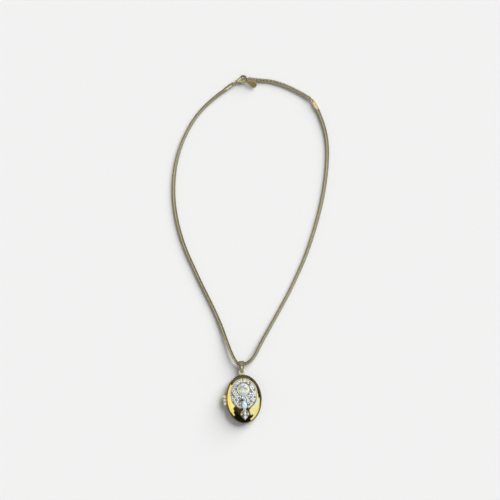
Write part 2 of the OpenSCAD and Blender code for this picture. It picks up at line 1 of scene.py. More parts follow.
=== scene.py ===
"""Looks of an oval locket necklace with a raised bird of cut stones, lying flat on a pale table.

Metres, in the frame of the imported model: X across the locket, Y up to the bail, Z out of the
cover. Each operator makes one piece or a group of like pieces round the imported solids.
"""

from math import acos, atan2, cos, hypot, pi, radians, sin, sqrt

import bmesh
import bpy
from bpy.props import FloatProperty, FloatVectorProperty, IntProperty, PointerProperty
from bpy.types import Operator, Panel, PropertyGroup
from mathutils import Matrix, Vector
from mathutils.kdtree import KDTree


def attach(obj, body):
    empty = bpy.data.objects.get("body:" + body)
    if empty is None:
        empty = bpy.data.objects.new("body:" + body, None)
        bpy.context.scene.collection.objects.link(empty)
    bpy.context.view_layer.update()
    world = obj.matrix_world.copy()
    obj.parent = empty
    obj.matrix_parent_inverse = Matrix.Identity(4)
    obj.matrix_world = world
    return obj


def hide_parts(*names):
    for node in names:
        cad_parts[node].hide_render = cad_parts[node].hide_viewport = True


bl_info = {
    "name": "Oval Locket Necklace",
    "version": (1, 0, 0),
    "blender": (4, 5, 0),
    "location": "View3D > Sidebar > Locket",
    "description": "Polished shells, cut stones and a plated snake chain for an oval locket",
    "category": "Object",
}

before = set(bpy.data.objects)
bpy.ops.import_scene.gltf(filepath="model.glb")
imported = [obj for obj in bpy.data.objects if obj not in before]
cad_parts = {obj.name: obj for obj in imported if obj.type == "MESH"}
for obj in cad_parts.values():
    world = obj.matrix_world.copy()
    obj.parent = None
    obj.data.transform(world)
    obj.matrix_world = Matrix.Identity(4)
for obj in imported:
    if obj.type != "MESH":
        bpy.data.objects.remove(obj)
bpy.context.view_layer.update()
NECKLACE = "locket_and_chain"
COVER = "cover"
LEVER = "lever"
MM = 0.001
WELD = 0.002 * MM
SIDES = ((-1, "left"), (1, "right"))


# Settings that a user would change


def length(name, description, millimetres):
    return FloatProperty(
        name=name, description=description, default=millimetres * MM, min=0.0, precision=5,
        unit="LENGTH",
    )  # fmt: skip


def turn(name, description, degrees):
    return FloatProperty(
        name=name, description=description, default=radians(degrees), subtype="ANGLE"
    )


def tint(name, description, colour):
    return FloatVectorProperty(
        name=name, description=description, default=colour, min=0.0, max=1.0, size=3,
        subtype="COLOR",
    )  # fmt: skip


class ShellSizes(PropertyGroup):
    """Sizes of the two oval shells, their hinge and the ring on top"""

    width: length("Oval width", "Width of the oval outline", 23.6)
    long: length("Oval length", "Length of the oval outline", 32.1)
    seam: length("Seam height", "Height of the seam above the table", 3.6)
    bowl: length("Bowl depth", "Depth of the bowl that the flat back is cut from", 4.3)
    rise: length("Dome rise", "Rise of the cover's dome above the seam", 4.6)
    wall: length("Wall", "Thickness of the shells' metal", 0.7)
    gap: length("Seam gap", "Space between cover and back", 0.08)
    hinge_out: length("Hinge offset", "Distance of the hinge axis outside the oval", 0.75)
    knuckle: length("Knuckle radius", "Radius of the hinge barrel", 1.0)
    knuckle_long: length("Knuckle length", "Length of each knuckle", 2.1)
    knuckle_gap: length("Knuckle gap", "Space between two knuckles", 0.15)
    pin: length("Hinge pin radius", "Radius of the hinge pin", 0.35)
    ring: length("Top ring radius", "Radius of the top ring to the middle of its wire", 1.65)
    ring_wire: length("Top ring wire", "Radius of the top ring's wire", 0.6)
    ring_out: length("Top ring offset", "Distance of the ring's middle outside the oval", 1.55)
    ring_drop: length("Top ring drop", "Depth of the ring's middle under the seam", 0.7)


class BirdSizes(PropertyGroup):
    """Sizes of the wings, the stones and the bird"""

    spread: length("Wing half width", "Half of the spread of the wings", 8.7)
    span: length("Wing half length", "Half of the length of the wings' outline", 9.9)
    wings_y: length("Wings' middle", "Height of the wings' middle on the oval", 3.5)
    field: length("Field", "Height of the wings' field over the dome", 0.8)
    rim_width: length("Rim width", "Width of the wings' raised rim", 0.6)
    rim_height: length("Rim height", "Height of the raised rim over the dome", 1.25)
    pitch: length("Stone spacing", "Spacing of the small stones", 1.32)
    stone: length("Small stone", "Radius of a small stone", 0.56)
    crystal: length("Crystal", "Radius of the large crystal", 3.75)
    crystal_y: length("Crystal's place", "Height of the large crystal on the oval", 6.7)
    bezel: length("Bezel", "Width of the metal round the crystal", 0.4)
    middle: length("Middle line", "Offset of the bird's middle line", 0.15)


class ChainSizes(PropertyGroup):
    """Sizes of the bail, the chain and its end pieces"""

    thick: length("Chain", "Diameter of the snake chain", 2.1)
    plate: length("Plate", "Length of one plate of the snake chain", 0.7)
    tube: length("End tube", "Outer radius of the end tubes", 1.28)
    tube_long: length("End tube length", "Length of the end tubes", 5.6)
    link_wire: length("Link wire", "Radius of the wire of a link", 0.33)
    link_long: length("Link half length", "Half of a link, to the middle of its wire", 1.7)
    link_wide: length("Link half width", "Half of a link's width, to its wire", 0.9)
    link_twist: turn("Link twist", "Twist of a link's ends", 60)
    links: IntProperty(name="Links", description="Number of links", default=19, min=1)
    ring_wire: length("Ring wire", "Radius of the jump rings' wire", 0.26)
    strap: length("Bail strap", "Thickness of the bail's strap", 0.55)


class Finishes(PropertyGroup):
    """Colours of the metals and stones"""

    gold: tint("Polished gold", "Shells", (0.95, 0.8, 0.3))
    # Painted reflection: the olive brown at the shells' rims stands in for the shaded table they
    # mirror
    gold_rim_reflection: tint("Gold at the rim", "Aged gold at the shells' rims", (0.44, 0.4, 0.28))
    pale: tint("Pale gold", "Rings, pins, left end tube and lever", (0.93, 0.84, 0.55))
    olive: tint("Chain gold", "Snake chain", (0.84, 0.75, 0.44))
    # Painted shade: groove and hollow are the dark colours mixed in between plates, in corners and
    # between stones
    groove: tint("Groove", "Dark metal between plates and in corners", (0.12, 0.1, 0.06))
    hollow: tint("Hollow", "Dark corners between the stones", (0.05, 0.055, 0.05))
    rhodium: tint("White metal", "Wings and bird", (0.92, 0.93, 0.92))
    clear: tint("Clear stone", "Small stones", (1.0, 1.0, 0.98))
    warm: tint("Crystal warm", "Cream sides of the large crystal", (1.0, 0.91, 0.58))
    cool: tint("Crystal cool", "Pale aqua end of the large crystal", (0.68, 0.93, 0.9))
    blue: tint("Blue stone", "Stone of the bird's body", (0.78, 0.95, 1.0))


class StageSettings(PropertyGroup):
    """Table, light and camera"""

    table: tint("Table", "Colour of the table", (0.91, 0.908, 0.905))
    aim: FloatVectorProperty(
        name="Aim", description="Point of the table in the middle of the view",
        default=(0.01007, 0.09765, 0.0), size=3, subtype="XYZ", unit="LENGTH",
    )  # fmt: skip
    view_wide: length("View", "Width of the view on the table", 330)
    away: length("Camera height", "Height of the camera above the table", 1200)
    lean: turn("Lean", "Turn of the view against the locket's upright", 3.5)
    sun: FloatProperty(name="Key light", description="Strength of the key light", default=3.95)
    sky: FloatProperty(name="Studio", description="Strength of the studio's walls", default=1.0)
    fill: FloatProperty(name="Fill", description="Strength of the even fill light", default=0.27)


class NecklaceSettings(PropertyGroup):
    """All settings of the necklace"""

    shells: PointerProperty(type=ShellSizes)
    bird: PointerProperty(type=BirdSizes)
    chain: PointerProperty(type=ChainSizes)
    finish: PointerProperty(type=Finishes)
    stage: PointerProperty(type=StageSettings)


# Places along the chain, the same as the solids', in millimetres
CHAIN_POINTS = (
    (3, 206, 1.28), (0, 204, 1.28), (-5.6, 200.4, 1.15), (-14.3, 193.5, 1.05),
    (-21.2, 186, 1.05), (-26.8, 177.5, 1.05), (-31.5, 168, 1.05), (-34.9, 158, 1.05),
    (-36.9, 148, 1.05), (-37.8, 138, 1.05), (-37.6, 128, 1.05), (-36.4, 118, 1.05),
    (-34.3, 108, 1.05), (-31.3, 98, 1.05), (-27.5, 88, 1.05), (-23.6, 78, 1.05),
    (-19.4, 68, 1.05), (-15.3, 58, 1.1), (-11.7, 48, 1.5), (-8.7, 38, 2.2),
    (-6.6, 31.5, 2.8), (-4.7, 26.8, 3.1), (-2.6, 23.8, 3.2), (0, 22.8, 3.2),
    (2.6, 23.2, 3.2), (4.8, 24.1, 3.1), (7, 25.7, 2.9), (9.6, 29, 2.6),
    (15, 38, 1.9), (21.4, 48, 1.3), (27.8, 58, 1.1), (34, 68, 1.05),
    (39.6, 78, 1.05), (44.8, 88, 1.05), (49.3, 98, 1.05), (53.2, 108, 1.05),
    (56.7, 118, 1.05), (59.7, 128, 1.05), (62.1, 138, 1.05), (63.9, 148, 1.05),
    (65, 158, 1.05), (65, 167.5, 1.05), (63.5, 177, 1.15), (60.2, 187.4, 1.28),
    (58.6, 190.6, 1.28),
)  # fmt: skip
# Mouths of the end tubes and their turns from +X in degrees
LEFT_MOUTH = (0, 204, 1.28)
LEFT_TURN = 34
RIGHT_MOUTH = (60.2, 187.4, 1.28)
RIGHT_TURN = 117.2
EXTENDER_POINTS = (
    (16.1678, 210.132, 1.57272), (23.5, 208.9, 0.95), (30.1, 207.9, 0.95), (36.5, 205.8, 0.95),
    (42.9, 202.8, 0.95), (49.3, 199.1, 0.95), (55.3231, 195.022, 1.28),
)  # fmt: skip

# Bird from head to tail: place along Y, left side, right side, height of its ridge
BIRD_ROWS = (
    (2.46, -0.95, 0.3, 0.9), (1.9, -1.5, 0.75, 1.3), (1.3, -1.75, 1.05, 1.45),
    (0.7, -1.75, 1.3, 1.45), (0.25, -1.82, 1.45, 1.25), (-0.15, -1.6, 1.5, 1.15),
    (-0.6, -0.95, 1.55, 1.05), (-1.4, -1.2, 1.6, 0.95), (-2.4, -1.65, 1.75, 0.9),
    (-3.6, -1.9, 1.9, 0.9), (-4.8, -1.6, 1.6, 0.9), (-5.8, -1.05, 1.05, 0.95),
    (-6.5, -0.95, 0.95, 1.1), (-7.3, -1.9, 1.9, 1), (-8.4, -2.7, 2.7, 0.9),
    (-9.7, -3.2, 3.2, 0.9), (-10.8, -2.5, 2.5, 0.9), (-12, -1.35, 1.35, 0.85),
    (-13.3, -0.25, 0.25, 0.6),
)  # fmt: skip


# Shared shapes


def search_tree(points):
    tree = KDTree(len(points))
    for i, p in enumerate(points):
        tree.insert((p.x, p.y, p.z if len(p) > 2 else 0.0), i)
    tree.balance()
    return tree


def smooth_step(low, high, value):
    t = min(max((value - low) / (high - low), 0.0), 1.0)
    return t * t * (3 - 2 * t)


def lerp(a, b, t):
    return a + (b - a) * t


def toward(angle):
    """Flat direction at an angle from +X"""
    return Vector((cos(angle), sin(angle)))


def curve_point(points, along):
    """Point of the smooth curve through the points, where along counts them"""
    last = len(points) - 1
    i = min(int(along), last - 1)
    t = along - i
    a, b = points[max(i - 1, 0)], points[i]
    c, d = points[i + 1], points[min(i + 2, last)]
    return 0.5 * (
        2 * b
        + (c - a) * t
        + (2 * a - 5 * b + 4 * c - d) * t * t
        + (3 * b - a - 3 * c + d) * t * t * t
    )


def millimetres(rows):
    return [Vector(row) * MM for row in rows]


def even_path(points, step, fine=12):
    """Points at even steps along the smooth curve through the given ones"""
    dense = [curve_point(points, i / fine) for i in range((len(points) - 1) * fine + 1)]
    reach = [0.0]
    for a, b in zip(dense, dense[1:]):
        reach.append(reach[-1] + (b - a).length)
    count = max(2, round(reach[-1] / step))
    path, k = [], 0
    for i in range(count + 1):
        want = reach[-1] * i / count
        while k < len(dense) - 2 and reach[k + 1] < want:
            k += 1
        path.append(dense[k].lerp(dense[k + 1], (want - reach[k]) / (reach[k + 1] - reach[k])))
    return path


def headings(path, closed=False):
    n = len(path)
    if closed:
        return [(path[(i + 1) % n] - path[i - 1]).normalized() for i in range(n)]
    return [(path[min(i + 1, n - 1)] - path[max(i - 1, 0)]).normalized() for i in range(n)]


def sheet(bm, across, along, place):
    """A flat grid whose points place(u, v) puts, with u across and v along it, 0 to 1"""
    made = bmesh.ops.create_grid(bm, x_segments=across, y_segments=along, size=0.5)
    for v in made["verts"]:
        v.co = place(v.co.x + 0.5, v.co.y + 0.5)
    return made["verts"]


def slab(bm, across, along, place):
    """A closed slab whose points place(u, v, top) puts, with top 1 on its upper side"""
    made = bmesh.ops.create_grid(bm, x_segments=across, y_segments=along, size=0.5)
    faces = list({f for v in made["verts"] for f in v.link_faces})
    under = bmesh.ops.extrude_face_region(bm, geom=faces, use_keep_orig=True)
    lower = [g for g in under["geom"] if isinstance(g, bmesh.types.BMVert)]
    bmesh.ops.translate(bm, vec=(0, 0, -1), verts=lower)
    verts = made["verts"] + lower
    for v in verts:
        v.co = place(v.co.x + 0.5, v.co.y + 0.5, v.co.z + 1)
    return verts


def tube(bm, path, sides, radius, closed=False, frames=None):
    """A tube round a path: a sheet rolled round it and welded; radius(i, angle) shapes it"""
    n = len(path)
    ways = headings(path, closed)
    rings = n if closed else n - 1

    def place(u, v):
        i = round(v * rings) % n if closed else round(v * rings)
        angle = 2 * pi * u
        if frames:
            side, up = frames[i]
        else:
            side = ways[i].cross(Vector((0, 0, 1))).normalized()
            up = side.cross(ways[i])
        return path[i] + radius(i, angle) * (cos(angle) * side + sin(angle) * up)

    verts = sheet(bm, sides, rings, place)
    bmesh.ops.remove_doubles(bm, verts=[v for v in verts if v.is_boundary], dist=WELD)
    return verts


def lathe(bm, profile, steps, place=Matrix.Identity(4)):
    """A turned shape: the profile's points (radius, height) spun round Z, then placed"""
    rail = [bm.verts.new((r, 0, z)) for r, z in profile]
    edges = [bm.edges.new(pair) for pair in zip(rail, rail[1:])]
    before = set(bm.verts) - set(rail)
    bmesh.ops.spin(
        bm, geom=rail + edges, cent=(0, 0, 0), axis=(0, 0, 1), angle=2 * pi, steps=steps,
        use_merge=True,
    )  # fmt: skip
    made = [v for v in bm.verts if v not in before]
    bmesh.ops.remove_doubles(bm, verts=made, dist=WELD)
    made = [v for v in bm.verts if v not in before]
    bmesh.ops.transform(bm, matrix=place, verts=made)


def along_y(x, y, z):
    """Place whose Z axis runs down the Y axis from a point"""
    return Matrix.Translation((x, y, z)) @ Matrix.Rotation(pi / 2, 4, "X")


def round_wire(radius, wire, sides=16):
    """Profile of a ring's wire for the lathe, closed"""
    turns = [2 * pi * j / sides for j in range(sides + 1)]
    return [(radius + wire * cos(t), wire * sin(t)) for t in turns]


def shoulder(radius, height, lip, steps=4):
    """Points of the rounded corner from a wall up to a flat top, without its first"""
    turns = [pi / (2 * steps) * k for k in range(1, steps + 1)]
    return [(radius - lip + lip * cos(t), height - lip + lip * sin(t)) for t in turns]


def rounded_can(radius, height, lip, corner=4):
    """Profile of a closed cylinder with rounded rims, from its lower middle to its upper"""
    low = [
        (radius - lip + lip * sin(t), lip - lip * cos(t))
        for t in (pi / 2 * k / corner for k in range(corner + 1))
    ]
    return [(0, 0)] + low + [(r, height - z) for r, z in reversed(low)] + [(0, height)]


def cut_gem(bm, levels, place):
    """A cut stone: the hull of rings of points (count, radius, height, turn in steps)"""
    verts = []
    for count, radius, height, turned in levels:
        for j in range(count):
            a = 2 * pi * (j + turned) / count
            verts.append(bm.verts.new((radius * cos(a), radius * sin(a), height)))
    hull = bmesh.ops.convex_hull(bm, input=verts)
    inside = [g for g in hull["geom_interior"] if isinstance(g, bmesh.types.BMVert)]
    bmesh.ops.delete(bm, geom=inside, context="VERTS")
    faces = [g for g in hull["geom"] if isinstance(g, bmesh.types.BMFace) and g.is_valid]
    bmesh.ops.dissolve_limit(
        bm, angle_limit=radians(0.5), verts=[v for v in verts if v.is_valid],
        edges=list({e for f in faces for e in f.edges}),
    )  # fmt: skip
    verts = [v for v in verts if v.is_valid]
    bmesh.ops.transform(bm, matrix=place, verts=verts)
    return verts


def copy_of(node):
    """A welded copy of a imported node's mesh"""
    bm = bmesh.new()
    bm.from_mesh(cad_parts[node].data)
    bmesh.ops.remove_doubles(bm, verts=bm.verts, dist=WELD)
    return bm


def new_object(name, data):
    obj = bpy.data.objects.new(name, data)
    bpy.context.scene.collection.objects.link(obj)
    return obj


def mesh_of(name, bm):
    mesh = bpy.data.meshes.new(name)
    bm.to_mesh(mesh)
    bm.free()
    return mesh


def piece(name, bm, looks, body, slot, replaced=(), crease=35, facets=False):
    """Turns a bmesh into a finished piece that rides on a body"""
    bmesh.ops.recalc_face_normals(bm, faces=bm.faces)
    for f in bm.faces:
        f.smooth = not facets
    for e in bm.edges:
        e.smooth = e.calc_face_angle(0.0) < radians(crease)
    obj = new_object(name, mesh_of(name, bm))
    for look in looks:
        obj.data.materials.append(LOOKS[look])
    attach(obj, body)
    if replaced:
        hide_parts(*replaced)
    return obj


def cast_smooth(name, bm, grain, rounds):
    """The mesh of a bmesh with its corners rounded as on a casting"""
    holder = new_object(name, mesh_of(name, bm))
    remesh = holder.modifiers.new("Even mesh", "REMESH")
    remesh.mode = "VOXEL"
    remesh.voxel_size = grain
    soften = holder.modifiers.new("Soft corners", "SMOOTH")
    soften.factor = 0.5
    soften.iterations = rounds
    depsgraph = bpy.context.evaluated_depsgraph_get()
    result = bmesh.new()
    result.from_mesh(holder.evaluated_get(depsgraph).to_mesh())
    mould = holder.data
    bpy.data.objects.remove(holder)
    bpy.data.meshes.remove(mould)
    return result


# The dome that carries the bird


def dome_height(x, y):
    s = bpy.context.scene.necklace.shells
    inside = 1 - (2 * x / s.width) ** 2 - (2 * y / s.long) ** 2
    return s.rise * sqrt(max(inside, 0.0))


def dome_normal(x, y):
    s = bpy.context.scene.necklace.shells
    z = dome_height(x, y) / s.rise**2
    return Vector((x * 4 / s.width**2, y * 4 / s.long**2, z)).normalized()


def on_dome(x, y, h):
    """Point at height h along the normal of the dome over x, y"""
    seam = bpy.context.scene.necklace.shells.seam
    return Vector((x, y, seam + dome_height(x, y))) + h * dome_normal(x, y)


def dome_frame(x, y, h):
    """Frame on the dome at height h, with Z along its normal"""
    up = dome_normal(x, y)
    side = Vector((0, 1, 0)).cross(up).normalized()
    turned = Matrix((side, up.cross(side), up)).transposed().to_4x4()
    return Matrix.Translation(on_dome(x, y, h)) @ turned


# Materials


class Shading:
    """A node tree that is filled in step by step"""

    def __init__(self, tree):
        self.tree = tree

    def join(self, socket, value):
        if isinstance(value, bpy.types.NodeSocket):
            self.tree.links.new(value, socket)
        elif socket.type == "RGBA":
            socket.default_value = (*value, 1)
        else:
            socket.default_value = value

    def node(self, kind, inputs=None, **values):
        made = self.tree.nodes.new("ShaderNode" + kind)
        for key, value in values.items():
            setattr(made, key, value)
        for key, value in (inputs or {}).items():
            self.join(made.inputs[key], value)
        return made

    def math(self, operation, *values):
        """Result of an operation such as ABSOLUTE or ADD on one or two values"""
        return self.node("Math", dict(enumerate(values)), operation=operation).outputs[0]

    def add(self, a, b):
        return self.math("ADD", a, b)

    def subtract(self, a, b):
        return self.math("SUBTRACT", a, b)

    def multiply(self, a, b):
        return self.math("MULTIPLY", a, b)

    def divide(self, a, b):
        return self.math("DIVIDE", a, b)

    def vector(self, operation, inputs, output="Vector"):
        return self.node("VectorMath", inputs, operation=operation).outputs[output]

    def axes(self, vector):
        split = self.node("SeparateXYZ", {"Vector": vector})
        return [split.outputs[axis] for axis in "XYZ"]

    def span(self, value, low, high, to_low=0.0, to_high=1.0, kind="LINEAR"):
        """A value mapped from low and high to two others, and held there outside them"""
        ends = {"From Min": low, "From Max": high, "To Min": to_low, "To Max": to_high}
        made = self.node("MapRange", {"Value": value, **ends}, interpolation_type=kind)
        return made.outputs["Result"]

    def mixed(self, factor, a, b):
        """Colour between a and b"""
        return self.node("Mix", {0: factor, 6: a, 7: b}, data_type="RGBA").outputs[2]


class Look(Shading):
    """A material's node tree, on the object's own coordinates"""

    def __init__(self, name):
        self.material = bpy.data.materials.new(name)
        self.material.use_nodes = True
        super().__init__(self.material.node_tree)
        self.shader = self.tree.nodes["Principled BSDF"]
        self.coords = self.node("TexCoord").outputs["Object"]

    def noise(self, scale, detail=3.0, stretch=(1, 1, 1), rough=0.5):
        """Cloudy pattern, 0 to 1, whose scale counts the clouds in a metre"""
        mapped = self.node("Mapping", {"Vector": self.coords, "Scale": stretch})
        grain = {"Scale": scale, "Detail": detail, "Roughness": rough}
        return self.node("TexNoise", {"Vector": mapped.outputs["Vector"], **grain}).outputs["Fac"]

    def bump(self, height, distance, strength, **normal):
        inputs = {"Height": height, "Distance": distance, "Strength": strength, **normal}
        return self.node("Bump", inputs).outputs["Normal"]

    def stored(self, name):
        """An attribute of the mesh"""
        return self.node("Attribute", attribute_name=name).outputs["Fac"]

    def finish(self, **sockets):
        """Joins values to the shader's sockets, named in small letters"""
        for key, value in sockets.items():
            socket = key.replace("_", " ").title().replace("Ior", "IOR")
            self.join(self.shader.inputs[socket], value)
        return self.material


def polished_metal(name, colour, worn, roughness, groove=None, metal=1.0):
    """Plated metal with faint clouding, hairline scratches and fine pits, and painted shade from a
    groove colour
    """
    look = Look(name)
    cloud = look.noise(420, 4)
    hair = look.noise(900, 2, (1, 9, 3), 0.7)
    pits = look.noise(5200, 2)
    base = look.mixed(look.span(cloud, 0.42, 0.75, 0.0, 0.4), colour, worn)
    rough = look.add(look.span(cloud, 0.3, 0.7, 0.0, 0.07), roughness)
    # Painted shade: the stored groove share mixes in the groove colour; the tag's pale one paints a
    # highlight
    if groove:
        deep = look.stored("groove")
        base = look.mixed(deep, base, groove)
        rough = look.add(rough, look.span(deep, 0, 1, 0, 0.25))
    normal = look.bump(hair, 0.006 * MM, 0.4, Normal=look.bump(pits, 0.004 * MM, 0.5))
    return look.finish(base_color=base, metallic=metal, roughness=rough, normal=normal)


def shell_metal(name, colour, edge, sizes):
    """Mirror-polished gold with a painted reflection at the rim: olive brown, copper on the hinge's
    side
    """
    look = Look(name)
    x, y, z = look.axes(look.coords)
    across, along = look.divide(x, sizes.width / 2), look.divide(y, sizes.long / 2)
    out = look.add(look.multiply(across, across), look.multiply(along, along))
    cloud = look.noise(260, 4)
    wander = look.add(out, look.span(cloud, 0.3, 0.7, -0.03, 0.03))
    toward_light = look.subtract(look.multiply(across, 0.6), look.multiply(along, 0.8))
    # Painted reflection at the rim: olive brown where the steep rim mirrors the shaded table, less
    # towards the light
    rim_reflection = look.multiply(
        look.span(wander, 0.74, 0.88, 0.0, 0.85), look.span(toward_light, 0.75, 0.88, 1.0, 0.2)
    )
    hair = look.noise(700, 3, (1, 7, 3), 0.75)
    base = look.mixed(look.span(cloud, 0.45, 0.8, 0.0, 0.25), colour, COPPER_CLOUD)
    copper_reflection_side = look.span(across, -0.35, -0.8)
    base = look.mixed(rim_reflection, base, look.mixed(copper_reflection_side, edge, COPPER_RIM_REFLECTION))
    rough = look.span(look.noise(600, 3), 0.35, 0.75, 0.035, 0.11)
    normal = look.bump(hair, 0.004 * MM, 0.35)
    return look.finish(base_color=base, metallic=1.0, roughness=rough, normal=normal)


def cut_stone(name, colour, shade, density, clear):
    """Bright cut stone whose facets are painted from shade to colour by their stored facet light;
    clear is the share of light let in
    """
    look = Look(name)
    facet_light = look.stored("facet_light")
    faint = tuple(c * k for c, k in zip(colour, FAINT))
    base = look.mixed(facet_light, shade, look.mixed(look.noise(900, 2), colour, faint))
    return look.finish(
        base_color=base, metallic=0.0, roughness=0.02, ior=density, transmission_weight=clear
    )


def foil(name, colour):
    """Bright backing behind a stone"""
    look = Look(name)
    cloud = look.span(look.noise(2600, 2), 0.3, 0.7)
    base = look.mixed(cloud, colour, tuple(0.6 * c for c in colour))
    return look.finish(base_color=base, metallic=0.3, roughness=0.4)


def crystal_stone(name, warm, cool, shade, b):
    """Large crystal: cream sides, an aqua foot, a pale blue top, painted facet light and dark
    strokes
    """
    look = Look(name)
    x, y, z = look.axes(look.coords)
    x = look.divide(look.subtract(x, b.middle), b.crystal)
    y = look.divide(look.subtract(y, b.crystal_y), b.crystal)
    wander = look.span(look.noise(700, 2), 0.3, 0.7, -0.15, 0.15)
    cream = look.span(look.add(look.math("ABSOLUTE", x), wander), 0.25, 0.7)
    height = look.add(y, wander)
    base = look.mixed(cream, CRYSTAL_MIDDLE, warm)
    base = look.mixed(look.span(height, -0.3, -0.7), base, cool)
    base = look.mixed(look.span(height, 0.5, 0.8), base, CRYSTAL_TOP)
    base = look.mixed(look.stored("facet_light"), shade, base)
    return look.finish(
        base_color=base, metallic=0.0, roughness=0.03, ior=1.75, transmission_weight=0.15
    )


# Clouds on the shells' gold, and the copper of the rim's painted reflection on the hinge's side
COPPER_CLOUD = (0.8, 0.5, 0.16)
COPPER_RIM_REFLECTION = (0.8, 0.58, 0.34)
# The crystal's colour in its middle and at its top
CRYSTAL_MIDDLE = (0.97, 0.97, 0.94)
CRYSTAL_TOP = (0.78, 0.88, 1.0)
# Faint tint of some stones
FAINT = (0.92, 0.98, 0.93)
# Painted reflections: dark strokes in the crystal, in shares of its radius: from x, y, to x, y,
# depth
STROKES = (
    (-0.8, 0.02, -0.12, 0.5, 0.8), (-0.12, 0.5, 0.66, -0.04, 0.85), (-0.38, -0.14, 0, 0.14, 0.6),
    (0, 0.14, 0.35, -0.1, 0.65), (-0.42, 0.5, -0.38, 0.9, 0.55), (0.08, 0.6, 0.4, 0.85, 0.6),
    (0.6, 0.3, 0.8, 0.5, 0.4), (-0.75, 0.35, -0.6, 0.65, 0.45),
)  # fmt: skip
STROKE_WIDE = 0.1
# Materials by the name of their look, filled by make_looks
LOOKS = {}


def make_looks(settings):
    """All finishes, made once"""
    f = settings.finish
    # Metals: material, colour, worn colour, roughness, groove colour for painted shade and share of
    # metal
    metals = {
        "pale": ("pale_gold", f.pale, (0.66, 0.52, 0.26), 0.16),
        "bail": ("bail_gold", (1, 0.95, 0.68), (0.8, 0.7, 0.42), 0.28, (0.36, 0.31, 0.15), 0.75),
        "amber": ("warm_gold", (1, 0.84, 0.5), (0.95, 0.7, 0.35), 0.25, None, 0.65),
        "bezel": ("bezel_gold", (1, 0.98, 0.86), (0.8, 0.78, 0.65), 0.22, f.hollow, 0.5),
        "clasp": ("clasp_gold", (0.92, 0.82, 0.5), (0.7, 0.58, 0.3), 0.14, f.groove, 0.92),
        "chain": ("chain_gold", f.olive, (0.6, 0.5, 0.28), 0.2, f.groove, 0.95),
        "links": ("link_gold", (0.72, 0.66, 0.45), (0.56, 0.48, 0.28), 0.3, None, 0.85),
        "white": ("white_metal", f.rhodium, (0.65, 0.65, 0.65), 0.22, f.hollow, 0.6),
        "feather": ("feather_gold", (0.78, 0.64, 0.4), (0.6, 0.45, 0.25), 0.3, f.hollow, 0.75),
        # Painted highlight: the knuckles and top ring take this paler, less metallic gold to look
        # brightly lit
        "hinge": ("hinge_highlight_gold", (1, 0.96, 0.68), (0.95, 0.86, 0.55), 0.28, f.groove, 0.42),
        "rim": ("rim_gold", (1, 0.94, 0.6), (0.9, 0.76, 0.42), 0.25, f.groove, 0.4),
        # Painted reflection: the band's aqua tint stands in for a pale window mirrored in white
        # metal
        "band": ("band_aqua_reflection", (0.82, 0.93, 0.88), (0.5, 0.6, 0.56), 0.3, f.groove, 0.3),
        "satin": ("satin_gold", (0.68, 0.54, 0.2), (0.8, 0.6, 0.45), 0.35, (0.9, 0.72, 0.6), 0.7),
    }
    # Stones: material, colour, painted shade of their darkest facets, density, share of light let
    # in
    stones = {
        "clear": ("clear_stone", f.clear, (0.1, 0.105, 0.1), 2.2, 0.0),
        "blue": ("blue_stone", f.blue, (0.5, 0.75, 0.88), 1.6, 0.08),
        "tan": ("tan_stone", (0.86, 0.76, 0.58), (0.3, 0.24, 0.18), 1.6, 0.0),
    }
    LOOKS.update({look: polished_metal(*row) for look, row in metals.items()})
    LOOKS.update({look: cut_stone(*row) for look, row in stones.items()})
    LOOKS["shell"] = shell_metal("polished_gold", f.gold, f.gold_rim_reflection, settings.shells)
    LOOKS["foil"] = foil("stone_foil", (0.93, 0.94, 0.97))
    LOOKS["crystal"] = crystal_stone(
        "coated_crystal", f.warm, f.cool, (0.09, 0.1, 0.08), settings.bird
    )


# Operators, one for each piece or group of like pieces


def settings_of(context):
    return context.scene.necklace


def mark_painted_light(made, depth):
    """Stores, 0 to 1, how much painted shade, or on some pieces painted highlight, each point's
    metal takes
    """
    groove = made.data.attributes.new("groove", "FLOAT", "POINT")
    groove.data.foreach_set("value", [depth(v.co) for v in made.data.vertices])


class Relief:
    """Painted shade noted while points are placed, for the same points in the finished mesh"""

    def __init__(self):
        self.deep = {}

    def key(self, co):
        return tuple(round(k / WELD) for k in co)

    def note(self, co, dark):
        self.deep[self.key(co)] = dark
        return co

    def depth(self, co):
        return self.deep.get(self.key(co), 0.0)


def knuckle(bm, s, y, side):
    """A hinge knuckle at y, with an arm into the shell above or below the seam"""
    x = -s.width / 2 - s.hinge_out
    lip, arm_height, arm_reach = 0.22 * MM, 0.7 * MM, s.hinge_out + 0.45 * MM
    place = along_y(x, y + s.knuckle_long / 2, s.seam)
    lathe(bm, rounded_can(s.knuckle, s.knuckle_long, lip), 32, place)
    z = s.seam + side * (s.gap * (side > 0) + arm_height / 2)
    size = Matrix.Diagonal((arm_reach, s.knuckle_long * 0.92, arm_height, 1))
    bmesh.ops.create_cube(bm, size=1, matrix=Matrix.Translation((x + arm_reach / 2, y, z)) @ size)


def pale_fittings(made, s):
    """Painted highlight of paler gold on the knuckles beside the oval and the ring above it;
    painted shade at the knuckle ends
    """
    step = s.knuckle_long + s.knuckle_gap
    beyond_oval, dark_from, dark_to = 1.012, 0.24 * MM, 0.08 * MM

    def to_end(co):
        if co.x > -s.width / 2 - 0.05 * MM or abs(co.y) > 1.4 * step:
            return 0.0
        beside = abs(co.y - round(co.y / step) * step)
        return smooth_step(s.knuckle_long / 2 - dark_from, s.knuckle_long / 2 - dark_to, beside)

    mark_painted_light(made, to_end)
    for f in made.data.polygons:
        out = hypot(2 * f.center.x / s.width, 2 * f.center.y / s.long)
        f.material_index = int(out > beyond_oval)


